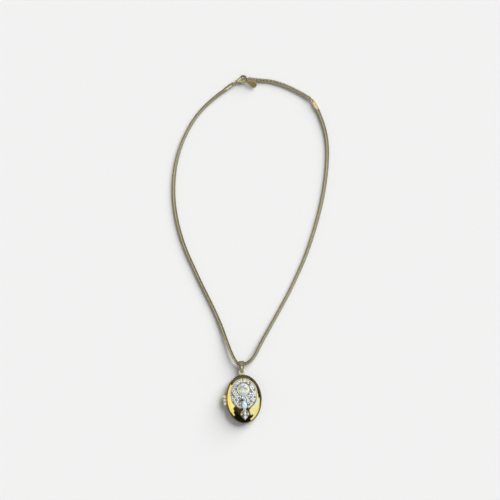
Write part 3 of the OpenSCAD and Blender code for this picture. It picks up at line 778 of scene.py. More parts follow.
def oval_shell(s, depth, side):
    """Half of the oval box, open at the seam, with a wall of even thickness"""
    bm = bmesh.new()
    bmesh.ops.create_uvsphere(bm, u_segments=224, v_segments=88, radius=1)
    place = Matrix.Translation((0, 0, s.seam))
    place = place @ Matrix.Diagonal((s.width / 2, s.long / 2, depth, 1))
    bmesh.ops.transform(bm, matrix=place, verts=bm.verts)
    rim = s.seam + (s.gap if side > 0 else 0)
    cuts = [((0, 0, rim), (0, 0, -side))]
    if side < 0:
        cuts.append(((0, 0, 0), (0, 0, -1)))
    for point, normal in cuts:
        geom = bm.verts[:] + bm.edges[:] + bm.faces[:]
        bmesh.ops.bisect_plane(bm, geom=geom, plane_co=point, plane_no=normal, clear_outer=True)
        if point[2] == 0:
            flat = [e for e in bm.edges if e.is_boundary and abs(e.verts[0].co.z) < WELD]
            bmesh.ops.holes_fill(bm, edges=flat, sides=0)
    bmesh.ops.recalc_face_normals(bm, faces=bm.faces)
    bmesh.ops.solidify(bm, geom=bm.faces[:], thickness=s.wall)
    for v in bm.verts:
        if abs(v.co.z - rim) < s.wall * 0.2 and side * (v.co.z - rim) < 0:
            v.co.z = rim
    return bm


# Thumb notch of the cover: half sizes, place along the oval, and its middle from the edge
NOTCH_SIZE = (1.2, 3, 1.3)
NOTCH_Y = -4.2
NOTCH_OUT = 0.75
NOTCH_UP = 0.3


class LOCKET_OT_cover(Operator):
    """Domed cover of the locket with its thumb notch and hinge knuckle"""

    bl_idname = "locket.cover"
    bl_label = "Cover"

    def execute(self, context):
        s = settings_of(context).shells
        bm = oval_shell(s, s.rise, 1)
        size = Vector(NOTCH_SIZE) * MM
        y = NOTCH_Y * MM
        edge = s.width / 2 * sqrt(1 - (2 * y / s.long) ** 2)
        middle = Vector((edge + NOTCH_OUT * MM, y, s.seam + NOTCH_UP * MM))
        for v in bm.verts:
            p = v.co - middle
            inside = 1 - (p.y / size.y) ** 2 - (p.z / size.z) ** 2
            if inside > 0:
                v.co.x = min(v.co.x, middle.x - size.x * sqrt(inside))
        knuckle(bm, s, 0, 1)
        looks = ("shell", "hinge")
        made = piece("cover_shell", bm, looks, COVER, "polished_gold", ["locket_front"])
        pale_fittings(made, s)
        return {"FINISHED"}


class LOCKET_OT_back(Operator):
    """Back of the locket with its flat face, hinge knuckles, pin and top ring"""

    bl_idname = "locket.back"
    bl_label = "Back"

    def execute(self, context):
        s = settings_of(context).shells
        bm = oval_shell(s, s.bowl, -1)
        step = s.knuckle_long + s.knuckle_gap
        for side in (-1, 1):
            knuckle(bm, s, side * step, -1)
        middle = Matrix.Translation((0, s.long / 2 + s.ring_out, s.seam - s.ring_drop))
        lathe(bm, round_wire(s.ring, s.ring_wire), 64, middle)
        looks = ("shell", "hinge")
        made = piece("back_shell", bm, looks, NECKLACE, "polished_gold", ["locket_back"])
        pale_fittings(made, s)
        pin = bmesh.new()
        past_knuckles, lip = 0.15 * MM, 0.12 * MM
        long = 2 * step + s.knuckle_long + 2 * past_knuckles
        place = along_y(-s.width / 2 - s.hinge_out, long / 2, s.seam)
        lathe(pin, rounded_can(s.pin, long, lip), 24, place)
        piece("pin_of_hinge", pin, ["pale"], NECKLACE, "pale_gold", ["hinge_pin"])
        return {"FINISHED"}


# Course of a wing's edges, in degrees and millimetres: the inner one runs up beside the neck,
# then round the bezel, and the outer one round the wing's oval
BEZEL_FROM = {1: -86, -1: -80}
BEZEL_TO = 88.2
OUTER_FROM, OUTER_TO = -71, 87.6
NECK_SHARE = 0.4
FOOT_Y = -5.7
FOOT_X = 2.15


def wing_edges(b, t, side):
    """Inner and outer point of a wing at share t of its length, from the middle line"""
    fit = b.crystal + b.bezel + 0.04 * MM
    from_turn, to_turn = radians(BEZEL_FROM[side]), radians(BEZEL_TO)

    def round_bezel(a):
        return Vector((fit * cos(a), b.crystal_y + fit * sin(a)))

    if t < NECK_SHARE:
        low, joint = FOOT_Y * MM, round_bezel(from_turn)
        y = lerp(low, joint.y, t / NECK_SHARE)
        left, right, ridge = bird_row(y / MM)
        beside = (right if side > 0 else -left) * MM + 0.05 * MM
        beside = lerp(beside, FOOT_X * MM, smooth_step(low + 0.7 * MM, low, y))
        inner = Vector((lerp(beside, joint.x, smooth_step(joint.y - 0.35 * MM, joint.y, y)), y))
    else:
        inner = round_bezel(lerp(from_turn, to_turn, (t - NECK_SHARE) / (1 - NECK_SHARE)))
    a = radians(lerp(OUTER_FROM, OUTER_TO, t))
    return inner, Vector((b.spread * cos(a), b.wings_y + b.span * sin(a)))


# Hollow in front of the beak, in the left wing, painted with the beak's shadow: x, y, half width
# and half length
HOLLOW = (2.2, -0.25, 0.8, 0.6)
# Plain band beside the neck, in the right wing, whose aqua is a painted reflection: a point of its
# edge, slope of that edge and the band's lower end
BAND_X, BAND_Y, BAND_SLOPE, BAND_LOW = 2.05, 2.5, 0.57, -0.6
# Stands for a distance from something that isn't there
FAR = 9.0


def beak_side(p, side):
    """Distance from the hollow in front of the beak: under 1 inside it"""
    if side > 0:
        return FAR
    x, y, wide, long = HOLLOW
    return hypot((p.x / MM - x) / wide, (p.y / MM - y) / long)


def feather_side(p, side):
    """Distance in millimetres from p to the line where the plain band beside the neck ends"""
    x, y = p.x / MM, p.y / MM
    return (x - BAND_X) + (y - BAND_Y) * BAND_SLOPE if side > 0 and y > BAND_LOW else FAR


# Radii of the filler stones, largest first
FILLERS = (0.42 * MM, 0.33 * MM, 0.26 * MM)


def small_stones(b, side):
    """Places and radii of a wing's stones, from the middle line: rows, then fillers at the edges"""
    steps, steps_across, rows, in_row = 150, 8, 9, 8
    edges = [wing_edges(b, i / steps, side) for i in range(steps + 1)]
    border = [inner for inner, outer in edges]
    for inner, outer in (edges[0], edges[-1]):
        border += [inner.lerp(outer, k / steps_across) for k in range(steps_across)]
    fence = search_tree(border)

    def fits(p, radius):
        out = (p.x / (b.spread - b.rim_width - radius)) ** 2
        out += ((p.y - b.wings_y) / (b.span - b.rim_width - radius)) ** 2
        clear = hypot(p.x, p.y - b.crystal_y) > b.crystal + b.bezel + radius
        on_band = feather_side(p, side) < radius / MM + 0.05
        if on_band or beak_side(p, side) < 1.3:
            return False
        return out < 1 and clear and fence.find((p.x, p.y, 0))[2] > radius

    stones = []
    for i in range(-rows, rows + 1):
        y = b.wings_y + i * b.pitch * sin(radians(60))
        for j in range(in_row):
            p = Vector(((j + (0.25, 0.75)[i % 2]) * b.pitch, y))
            low, high = bird_row(min(y / MM, 2.3))[:2]
            past = (high if side > 0 else -low) * MM if y < b.crystal_y else 0
            if p.x > past and fits(p, b.stone + 0.02 * MM):
                stones.append((p, b.stone))
    step, apart = 0.12 * MM, 0.05 * MM
    for radius in FILLERS:
        for inner, outer in edges:
            wide = (outer - inner).length
            for j in range(int(wide / step)):
                p = inner.lerp(outer, j * step / wide)
                alone = all((p - q).length > radius + r + apart for q, r in stones)
                if alone and fits(p, radius + apart):
                    stones.append((p, radius))
    return stones


# Underside of what sits on the dome, above it
SEAT = 0.08 * MM
# Heights on a wing in millimetres: metal between two stones and plain band over the field, then
# how far the inner edge, the hollow and the upper tip drop
CUP_WALL, BAND_RISE, EDGE_DROP, HOLLOW_DROP, TIP_DROP = 0.15, 0.3, 0.3, 0.3, 0.5
# Painted shade on a wing's metal, 0 to 1: beside a stone and how much less between two, at the
# rim's edge, on the rim's lower end, in the hollow and underneath
BESIDE_STONE, LESS_BETWEEN = 0.62, 0.34
RIM_EDGE, RIM_LOW, IN_HOLLOW, UNDERNEATH = 0.9, 0.97, 0.8, 0.3


class LOCKET_OT_wings(Operator):
    """Wings of white metal, cupped round each stone, with a rounded gold rim"""

    bl_idname = "locket.wings"
    bl_label = "Wings"

    def execute(self, context):
        for side, name in SIDES:
            self.wing(settings_of(context).bird, side, name)
        return {"FINISHED"}

    def wing(self, b, side, name):
        """One wing: its field, cups, plain band, rim and the notch at its upper end"""
        stones = small_stones(b, side)
        tree = search_tree([q for q, r in stones])
        relief = Relief()
        foot, tip = wing_edges(b, 1, side)
        along = (tip - foot).normalized()
        notch_wide = b.rim_width * 0.8

        def to_notch(p):
            """Distance to the wing's upper end beside the notch"""
            return abs((p - foot).cross(along)) if p.y > foot.y else FAR

        def field(p, inside):
            """Height and painted shade between the stones, at a distance from the inner edge"""
            found = tree.find_n((p.x, p.y, 0), 4)
            away = min(d - stones[i][1] for co, i, d in found)
            height = b.field + CUP_WALL * MM * smooth_step(-0.06 * MM, 0.08 * MM, away)
            dark = BESIDE_STONE - LESS_BETWEEN * smooth_step(0.08 * MM, 0.2 * MM, away)
            dark *= smooth_step(-0.1 * MM, 0.02 * MM, away)
            band = feather_side(p, side)
            if band < 0:
                height, dark = b.field + BAND_RISE * MM * smooth_step(0, -0.25, band), 0.0
            line = abs(band - 0.05) if p.y > BAND_LOW * MM else FAR
            dark = max(dark, 1 - smooth_step(0.15, 0.42, line))
            dark = max(dark, 1 - smooth_step(0.1 * MM, 0.3 * MM, inside))
            return height - EDGE_DROP * MM * (1 - smooth_step(0, 0.2 * MM, inside)), dark

        def raised(across, notch):
            """Height of the rim at a share across it, or across the notch's own rim"""
            swell = max(sin(pi * min(across, 1.0) ** 0.8), sin(pi * min(notch, 1.0)), 0.0)
            return lerp(b.field, b.rim_height, swell**0.5)

        def place(u, v, top):
            inner, outer = wing_edges(b, v, side)
            wide = (outer - inner).length
            p = inner.lerp(outer, u)
            height, dark = field(p, u * wide)
            rim = max(0.45, 1 - b.rim_width / wide)
            across = max((u - rim) / (1 - rim), 0.0)
            notch = max(0.0, 1 - to_notch(p) / notch_wide)
            if across > 0 or notch > 0:
                height = raised(across, notch)
                dark = RIM_EDGE * (1 - smooth_step(0, 0.35, max(across, notch)))
                dark = max(dark, RIM_LOW * smooth_step(2, -1.5, p.y / MM))
            # Painted shadow of the beak in the hollow
            hollow = smooth_step(1.6, 1, beak_side(p, side))
            dark, height = max(dark, IN_HOLLOW * hollow), height - HOLLOW_DROP * MM * hollow
            height -= TIP_DROP * MM * (1 - smooth_step(0, 0.5 * MM, (p - tip).length))
            q = on_dome(b.middle + side * p.x, p.y, height if top else SEAT)
            return relief.note(q, dark if top else UNDERNEATH)

        bm = bmesh.new()
        slab(bm, 96, 170, place)
        looks = ("white", "rim", "band")
        made = piece("wing_of_stones_" + name, bm, looks, COVER, "rhodium", ["wing_" + name], 60)
        mark_painted_light(made, relief.depth)
        for f in made.data.polygons:
            p = Vector((side * (f.center.x - b.middle), f.center.y))
            out = (p.x / b.spread) ** 2 + ((p.y - b.wings_y) / b.span) ** 2
            on_rim = out > (1 - b.rim_width / b.spread) ** 2 or to_notch(p) < notch_wide
            # Index 2 is the band's painted aqua reflection
            f.material_index = 2 if feather_side(p, side) < 0 else int(on_rim)


# Stones


# Turn from one small stone to the next, so that no two sparkle alike
GOLDEN_TURN = radians(137.5)
# Cuts as rings of points: count, share of the radius, height in millimetres, turn in steps
SMALL_CUT = (
    (8, 0.55, 0.42, 0), (8, 0.8, 0.32, 0.5), (8, 1.0, 0.14, 0), (8, 1.0, 0.1, 0),
    (8, 0.8, 0.0, 0),
)  # fmt: skip
CRYSTAL_CUT = (
    (6, 0.15, 2.17, 0), (12, 0.32, 2.13, 0.5), (12, 0.48, 2.06, 0), (16, 0.62, 1.97, 0.5),
    (24, 0.76, 1.83, 0), (24, 0.88, 1.63, 0.5), (32, 1.0, 1.25, 0), (32, 1.0, 1.08, 0),
    (16, 0.72, 0.62, 0.5), (8, 0.2, 0.12, 0),
)  # fmt: skip
ROUND_CUT = (
    (8, 0.55, 0.55, 0), (8, 0.8, 0.42, 0.5), (16, 1.0, 0.2, 0), (16, 1.0, 0.14, 0),
    (8, 0.75, 0.0, 0),
)  # fmt: skip
DROP_CUT = (
    (12, 0.5, 0.85, 0), (12, 0.78, 0.68, 0.5), (24, 1.0, 0.26, 0), (24, 1.0, 0.18, 0),
    (12, 0.8, 0.0, 0),
)  # fmt: skip
# Share of a stone's radius that its flat table reaches
TABLE_REACH = 0.3
# In millimetres: how far stones stand above their seats, how much wider a small stone is cut than
# its place, and from which distance off the middle line the tail's stones are tan
PROUD, WIDER, TAN_STONES = 0.04, 0.04, 1.3
# Painted sparkle: brightness of a small stone's table and of its darkest and brightest facet, from
# a share on
SMALL_FACET_LIGHTS = ((0.32, 1.0, 1.0, 1.0), (0.2, 0.75, 0.45, 0.9), (0.0, 0.15, 0.0, 0.4))
# Weights that turn numbers into a share that looks random
SCATTER = (12.9898, 78.233, 37.719, 9.41)
SCATTER_SPREAD = 43758.5453


def scatter(*numbers):
    """A share from 0 to 1 that looks random but depends only on the numbers"""
    return abs(sin(sum(n * w for n, w in zip(numbers, SCATTER))) * SCATTER_SPREAD) % 1


def cut_faces(made, seats, level):
    """Backs a stone's lower facets and stores each facet's painted brightness, given by level"""
    tree = search_tree([place.translation for place, reach in seats])
    facet_lights = []
    for f in made.data.polygons:
        i = tree.find(f.center)[1]
        place, reach = seats[i]
        here = place.inverted() @ f.center
        f.material_index = int((place.inverted().to_3x3() @ f.normal).z < -0.05)
        facet_lights.append(level(i, here.x / reach, here.y / reach))
    facet_light = made.data.attributes.new("facet_light", "FLOAT", "FACE")
    facet_light.data.foreach_set("value", facet_lights)


def small_facet_light(i, x, y):
    """Painted brightness of a small stone's facet: some stones painted flashing, some painted dark
    """
    own = scatter(i, 0.7)
    table, low, high = next(facet_lights for share, *facet_lights in SMALL_FACET_LIGHTS if own >= share)
    if hypot(x, y) < TABLE_REACH:
        return table
    return lerp(low, high, scatter(i, round(x, 2), round(y, 2)))


def large_facet_light(i, x, y):
    """Painted brightness of a facet of the bird's stones, the flat table a painted highlight"""
    flat = hypot(x, y) < TABLE_REACH
    return 1.0 if flat else 0.4 + 0.6 * scatter(i, round(x, 2), round(y, 2))


def crystal_facet_light(i, x, y):
    """Painted brightness of a facet of the large crystal: dark strokes of painted reflection over a
    bright crescent
    """
    facet_light = 0.85 + 0.15 * scatter(round(x, 2), round(y, 2))
    here = Vector((x, y))
    for x0, y0, x1, y1, depth in STROKES:
        a, b = Vector((x0, y0)), Vector((x1, y1))
        t = min(max((here - a).dot(b - a) / (b - a).length_squared, 0.0), 1.0)
        if (here - a.lerp(b, t)).length < STROKE_WIDE:
            facet_light = min(facet_light, 1 - depth * (1 - 0.3 * scatter(round(y, 2), round(x, 2))))
    return facet_light


def sized(levels, radius, tall=1.0):
    """Levels of a cut, its radii as shares of a radius and its heights in millimetres"""
    return [(n, r * radius, h * MM * tall, t) for n, r, h, t in levels]


def stone_piece(name, bm, look, slot, node):
    """A piece of flat facets, backed with foil"""
    return piece(name, bm, (look, "foil"), COVER, slot, [node], facets=True)


class LOCKET_OT_pave(Operator):
    """Fields of small cut stones with beads of metal between them"""

    bl_idname = "locket.pave"
    bl_label = "Small stones"

    def execute(self, context):
        b = settings_of(context).bird
        for side, name in SIDES:
            stones = small_stones(b, side)
            self.stones(b, side, name, stones)
            self.beads(b, side, name, stones)
        return {"FINISHED"}

    def stones(self, b, side, name, stones):
        bm = bmesh.new()
        seats = []
        for i, (p, r) in enumerate(stones):
            spin = Matrix.Rotation(GOLDEN_TURN * i, 4, "Z")
            place = dome_frame(b.middle + side * p.x, p.y, b.field + PROUD * MM) @ spin
            seats.append((place, r))
            cut_gem(bm, sized(SMALL_CUT, r + WIDER * MM, r / b.stone), place)
        made = stone_piece("small_stones_" + name, bm, "clear", "clear_stone", "pave_" + name)
        cut_faces(made, seats, small_facet_light)

    def beads(self, b, side, name, stones):
        """Beads where two stones or more meet, clear of every stone and bead"""
        bead = 0.14 * MM
        # In radii of a bead: its middle past a stone's edge, how near a stone holds it, how far
        # two beads keep apart and how far a bead keeps off every stone
        past, hold, apart, off = 0.75, 1.6, 2.2, 0.4
        beads_at = []
        for p, r in stones:
            for k in range(6):
                q = p + (r + bead * past) * toward(radians(60 * k + 30))
                held = sum((q - o).length < ro + bead * hold for o, ro in stones)
                free = all((q - o).length > bead * apart for o in beads_at)
                clear = all((q - o).length > ro + bead * off for o, ro in stones)
                if held > 1 and free and clear:
                    beads_at.append(q)
        bm = bmesh.new()
        for q in beads_at:
            place = dome_frame(b.middle + side * q.x, q.y, b.field + 0.24 * MM)
            bmesh.ops.create_icosphere(bm, subdivisions=1, radius=bead, matrix=place)
        made = piece("stone_beads_" + name, bm, ["white"], COVER, "rhodium")
        # Painted shade: each bead takes a fifth of the dark hollow colour
        mark_painted_light(made, lambda co: 0.2)


class LOCKET_OT_crystal(Operator):
    """Large round crystal in its bezel"""

    bl_idname = "locket.crystal"
    bl_label = "Large crystal"

    def execute(self, context):
        b = settings_of(context).bird
        place = dome_frame(b.middle, b.crystal_y, 0)
        bm = bmesh.new()
        cut_gem(bm, sized(CRYSTAL_CUT, b.crystal), place)
        made = stone_piece("large_crystal", bm, "crystal", "crystal", "round_crystal")
        cut_faces(made, [(place, b.crystal)], crystal_facet_light)
        self.bezel(b, place)
        return {"FINISHED"}

    def bezel(self, b, place):
        """Ring round the crystal, with painted shade outside towards its foot and a little on its
        upper half
        """
        inner, outer, top = b.crystal + 0.05 * MM, b.crystal + b.bezel, 1.35 * MM
        lip = 0.14 * MM
        profile = [(inner, 0), (outer, 0), (outer, top - lip)] + shoulder(outer, top, lip)
        profile += [(inner - 0.12 * MM, top + 0.03 * MM), (inner, top - 0.1 * MM), (inner, 0)]
        bm = bmesh.new()
        lathe(bm, profile, 96, place)
        made = piece("bezel", bm, ["bezel"], COVER, "rhodium", ["crystal_bezel"])
        middle, up = on_dome(b.middle, b.crystal_y, 0), dome_normal(b.middle, b.crystal_y)

        def shade(co):
            off = co - middle
            foot = smooth_step(outer - 0.1 * MM, outer, off.length)
            foot *= smooth_step(top, top - 0.5 * MM, off.dot(up))
            return max(0.8 * foot, 0.35 * smooth_step(0.2 * outer, 0.6 * outer, off.y))

        mark_painted_light(made, shade)


def bird_row(y):
    """Left side, right side and ridge height of the bird at y, in millimetres"""
    rows = [Vector(row) for row in BIRD_ROWS]
    for i, (a, b) in enumerate(zip(rows, rows[1:])):
        if y >= b[0] or i == len(rows) - 2:
            t = (a[0] - y) / (a[0] - b[0])
            return tuple(curve_point(rows, i + min(max(t, 0.0), 1.0)))[1:]


# Bird's details in millimetres: middle of the tail's fan, its eye, and how its feathers repeat,
# in turns for each radian of the fan and in radians for each millimetre of barb and down
FAN = Vector((0, -5.4))
EYE = (-1.1, 0.55, 1.4)
EYE_RADIUS = 0.16
FEATHER_TURN, BARB_TURN, DOWN_TURN = 4.5, 14, 11
# How deep they are cut, and how high the bird's edge stands
FEATHER_DEEP, BARB_DEEP, DOWN_DEEP, EDGE_HIGH = 0.22, 0.03, 0.07, 0.5
# Where the tail's feathers and the down's two ends set in, along Y from none to full
TAIL_FROM, DOWN_FROM, DOWN_TO = (-6.6, -7.6), (0.4, 0), (-6.9, -6.4)
# Painted shadow under the beak: from and to along Y, and up to which share across the bird
BEAK_FROM, BEAK_TO, BEAK_SHARE = -0.75, 0.5, -0.3
# Tan feathers: from and to along Y, and from which distance off the middle line
TAN_FROM, TAN_TO, TAN_OUT = -11.3, -7, 1


class LOCKET_OT_bird(Operator):
    """Bird in white metal with a feathered fan tail, a beak and an eye"""

    bl_idname = "locket.bird"
    bl_label = "Bird"

    def execute(self, context):
        b = settings_of(context).bird
        head, tail = BIRD_ROWS[0][0], BIRD_ROWS[-1][0]
        relief = Relief()

        def place(u, v, top):
            y = lerp(head, tail, v)
            left, right, ridge = bird_row(y)
            w = 2 * u - 1
            x = (left + right) / 2 + w * (right - left) / 2
            h = EDGE_HIGH + (ridge - EDGE_HIGH) * sqrt(max(1 - 0.92 * w * w, 0.0))
            on_tail = smooth_step(*TAIL_FROM, y)
            out = atan2(x - FAN.x, FAN.y - y) if y < FAN.y else 0.0
            feather = 1 - abs(sin(out * FEATHER_TURN + pi / 2)) ** 0.5
            barb = 0.5 + 0.5 * cos((hypot(x, FAN.y - y) - 0.25 * feather) * BARB_TURN)
            down = 0.5 + 0.5 * cos(y * DOWN_TURN + abs(w) * 5)
            on_neck = smooth_step(*DOWN_FROM, y) * smooth_step(*DOWN_TO, y)
            on_neck *= smooth_step(0, 0.3, abs(w))
            h -= on_tail * (FEATHER_DEEP * feather + BARB_DEEP * barb)
            h -= DOWN_DEEP * on_neck * down
            # Painted shade in the feathers' grooves, in the down and at the bird's edges
            dark = max(on_tail * feather, 0.15 * on_neck * down, smooth_step(0.82, 1, abs(w)))
            under_beak = BEAK_FROM < y < BEAK_TO and w < BEAK_SHARE
            q = on_dome(b.middle + x * MM, y * MM, h * MM if top else SEAT)
            return relief.note(q, 0.88 if under_beak else dark)

        bm = bmesh.new()
        slab(bm, 40, 170, place)
        x, y, h = (k * MM for k in EYE)
        eye = dome_frame(b.middle + x, y, h)
        bmesh.ops.create_icosphere(bm, subdivisions=2, radius=EYE_RADIUS * MM, matrix=eye)
        made = piece("raised_bird", bm, ("white", "feather"), COVER, "rhodium", ["bird"], 50)
        mark_painted_light(made, relief.depth)
        for f in made.data.polygons:
            x, y = (f.center.x - b.middle) / MM, f.center.y / MM
            f.material_index = int(TAN_FROM < y < TAN_TO and abs(x) > TAN_OUT)
        return {"FINISHED"}


# Stones of the bird: x from its middle line, y, half width, half length, height of the seat
HEAD_SPOT = (-0.9, 1.4, 0.66, 0.66, 1.42)
BODY_SPOT = (0, -3.6, 1.75, 2.65, 0.98)
TAIL_DROP = (0.1, -8.9, 0.95, 1.2, 0.95)
TAIL_KITE = (0.05, -11.4, 1.05, 1.25, 0.92)
TAIL_LEFT = (-1.95, -9.5, 0.62, 0.62, 0.85)
TAIL_RIGHT = (1.95, -9.5, 0.62, 0.62, 0.85)
# Pieces: name, node, look, slot and stones with their cut and how far an end narrows to a point
BIRD_STONES = (
    ("stone_of_head", "head_stone", "clear", "clear_stone", [(HEAD_SPOT, ROUND_CUT, 0)]),
    ("stone_of_body", "body_stone", "blue", "blue_stone", [(BODY_SPOT, DROP_CUT, 0.5)]),
    ("stones_of_tail", "tail_stones", "clear", "clear_stone", [
        (TAIL_DROP, DROP_CUT, 0.5), (TAIL_KITE, ROUND_CUT, -0.8),
        (TAIL_LEFT, ROUND_CUT, 0), (TAIL_RIGHT, ROUND_CUT, 0),
    ]),
)  # fmt: skip


def spot_stone(bm, b, spot, levels, point):
    """A cut stone of the bird; point narrows its upper or lower end"""
    x, y, wide, long, seat = spot
    verts = cut_gem(bm, sized(levels, MM), Matrix.Diagonal((wide, long, 1, 1)))
    for v in verts:
        end = v.co.y / (long * MM)
        v.co.x *= 1 - abs(point) * max(0.0, end if point > 0 else -end)
    place = dome_frame(b.middle + x * MM, y * MM, (seat + PROUD) * MM)
    bmesh.ops.transform(bm, matrix=place, verts=verts)


class LOCKET_OT_bird_stones(Operator):
    """Stones of the bird's head, body and tail, those at the tail's sides in tan"""

    bl_idname = "locket.bird_stones"
    bl_label = "Bird's stones"

    def execute(self, context):
        b = settings_of(context).bird
        for name, node, look, slot, stones in BIRD_STONES:
            bm = bmesh.new()
            seats = []
            for spot, cut, point in stones:
                spot_stone(bm, b, spot, cut, point)
                x, y, wide, long, seat = spot
                seats.append((dome_frame(b.middle + x * MM, y * MM, seat * MM), long * MM))
            made = stone_piece(name, bm, look, slot, node)
            cut_faces(made, seats, large_facet_light)
            if node == "tail_stones":
                made.data.materials.append(LOOKS["tan"])
                for f in made.data.polygons:
                    if abs(f.center.x - b.middle) > TAN_STONES * MM:
                        f.material_index = 2
        return {"FINISHED"}


# Bail in millimetres: radii of its bends, its lower bend past the top ring's middle, its upper
# bend past that middle and above the table, and half widths by distance from the lower bend
BAIL_LOW, BAIL_HIGH = 0.8, 1.6
BAIL_LOW_Y, BAIL_HIGH_Y, BAIL_HIGH_Z = 1.55, 5.45, 3.2
BAIL_WIDTHS = ((-1.6, 0.7), (-0.2, 0.78), (0.8, 1.25), (2, 1.42), (4, 1.78), (7, 1.7))
# Shares of the strap's thickness: at its sides, how much fuller its foot is and how far its
# inner face rises at the sides
STRAP_SIDES, STRAP_FOOT, STRAP_INSIDE = 0.35, 1.2, 0.1
# Flat facet on the bail's front: distance from the lower bend, half width and half length
FACET_AT = 1.9
FACET = (0.62, 1.15)


def strap_line(high, high_r, low, low_r):
    """Middle line of a strap round two bends: point and outward direction at a share of it"""
    way = high - low
    lean, open_by = atan2(way.y, way.x), acos((low_r - high_r) / way.length)
    straight = sqrt(way.length**2 - (high_r - low_r) ** 2)
    stretches = (2 * high_r * open_by, straight, 2 * low_r * (pi - open_by), straight)
    marks = (
        (high, high_r, lean - open_by), (high, high_r, lean + open_by),
        (low, low_r, lean + open_by), (low, low_r, lean + 2 * pi - open_by),
        (high, high_r, lean + 2 * pi - open_by),
    )  # fmt: skip

    def at(share):
        d = share % 1.0 * sum(stretches)
        k = 0
        while k < len(stretches) - 1 and d >= stretches[k]:
            d -= stretches[k]
            k += 1
        (a, a_r, a_turn), (b, b_r, b_turn) = marks[k : k + 2]
        t = d / stretches[k]
        out = toward(lerp(a_turn, b_turn, t))
        return (a + a_r * out).lerp(b + b_r * out, t), out

    return at


class LOCKET_OT_bail(Operator):
    """Bail: a crowned strap looped round the chain and through the top ring"""

    bl_idname = "locket.bail"
    bl_label = "Bail"

    def execute(self, context):
        settings = settings_of(context)
        s, c = settings.shells, settings.chain
        ring_y = s.long / 2 + s.ring_out
        low = Vector((ring_y + BAIL_LOW_Y * MM, s.seam - s.ring_drop))
        high = Vector((ring_y + BAIL_HIGH_Y * MM, BAIL_HIGH_Z * MM))
        low_r, high_r = BAIL_LOW * MM, BAIL_HIGH * MM
        middle_line = strap_line(high, high_r, low, low_r)
        slope = (high.y + high_r - low.y - low_r) / (high.x - low.x)
        facet_z = low.y + low_r + c.strap + slope * FACET_AT * MM

        def half_width(y):
            rise = (y - low.x) / MM
            for (a, wide_a), (b, wide_b) in zip(BAIL_WIDTHS, BAIL_WIDTHS[1:]):
                if rise <= b:
                    return lerp(wide_a, wide_b, smooth_step(a, b, rise)) * MM
            return BAIL_WIDTHS[-1][1] * MM

        def from_facet(x, y):
            """Distance from the facet's middle, 1 at its edge"""
            return hypot(x / (FACET[0] * MM), (y - low.x - FACET_AT * MM) / (FACET[1] * MM))

        def place(u, v, upper):
            p, out = middle_line(v)
            w = 2 * u - 1
            crown = sqrt(max(1 - w * w, 0.0))
            foot = smooth_step(low.x + 0.9 * MM, low.x - 0.6 * MM, p.x)
            if upper:
                rise = (STRAP_SIDES + (1 - STRAP_SIDES) * crown) * (1 + STRAP_FOOT * foot)
            else:
                rise = STRAP_INSIDE * (1 - crown)
            q = p + out * c.strap * rise
            made = Vector((w * half_width(p.x), q.x, q.y))
            if upper and out.y > 0.5:
                off = from_facet(made.x, made.y)
                made.z = lerp(facet_z, made.z, smooth_step(0.75, 1.05, off))
            return made

        # Painted highlight: the strap is shaded towards its groove colour everywhere but round the
        # facet, and more towards its sides
        def shade_off_facet(co):
            off = smooth_step(0.4, 1.3, from_facet(co.x, co.y))
            return off * (0.7 + 0.3 * abs(co.x) / half_width(co.y))

        bm = bmesh.new()
        slab(bm, 28, 200, place)
        bmesh.ops.remove_doubles(bm, verts=bm.verts, dist=WELD)
        inside = [f for f in bm.faces if all(len(e.link_faces) > 2 for e in f.edges)]
        bmesh.ops.delete(bm, geom=inside, context="FACES_ONLY")
        made = piece("bail_strap", bm, ["bail"], NECKLACE, "pale_gold", ["bail"], 60)
        mark_painted_light(made, shade_off_facet)
        return {"FINISHED"}


class LOCKET_OT_snake_chain(Operator):
    """Snake chain of short bent plates"""

    bl_idname = "locket.snake_chain"
    bl_label = "Snake chain"

    def execute(self, context):
        c = settings_of(context).chain
        radius, sides = c.thick / 2, 16
        rings_in_plate, wave, groove = 4, 0.9, 0.09
        path = even_path(millimetres(CHAIN_POINTS), c.plate / rings_in_plate)

        def depth(i, angle):
            """0 on a plate's crown, 1 in the groove between two plates"""
            phase = i / rings_in_plate + wave * cos(2 * angle) / 2
            return 0.5 + 0.5 * cos(2 * pi * phase)

        bm = bmesh.new()
        tube(bm, path, sides, lambda i, a: radius * (1 - groove * depth(i, a) ** 2))
        bmesh.ops.holes_fill(bm, edges=[e for e in bm.edges if e.is_boundary], sides=0)
        made = piece("plated_chain", bm, ["chain"], NECKLACE, "chain_gold", ["snake_chain"], 80)
        ways = headings(path)
        tree = search_tree(path)

        # Painted shade: darker deep in the grooves between plates
        def depth_at(co):
            i = tree.find(co)[1]
            off = co - path[i]
            deep = 1 - (off - ways[i] * off.dot(ways[i])).length / radius
            return min(max(deep / groove, 0.0), 1.0) ** 1.5

        mark_painted_light(made, depth_at)
        return {"FINISHED"}


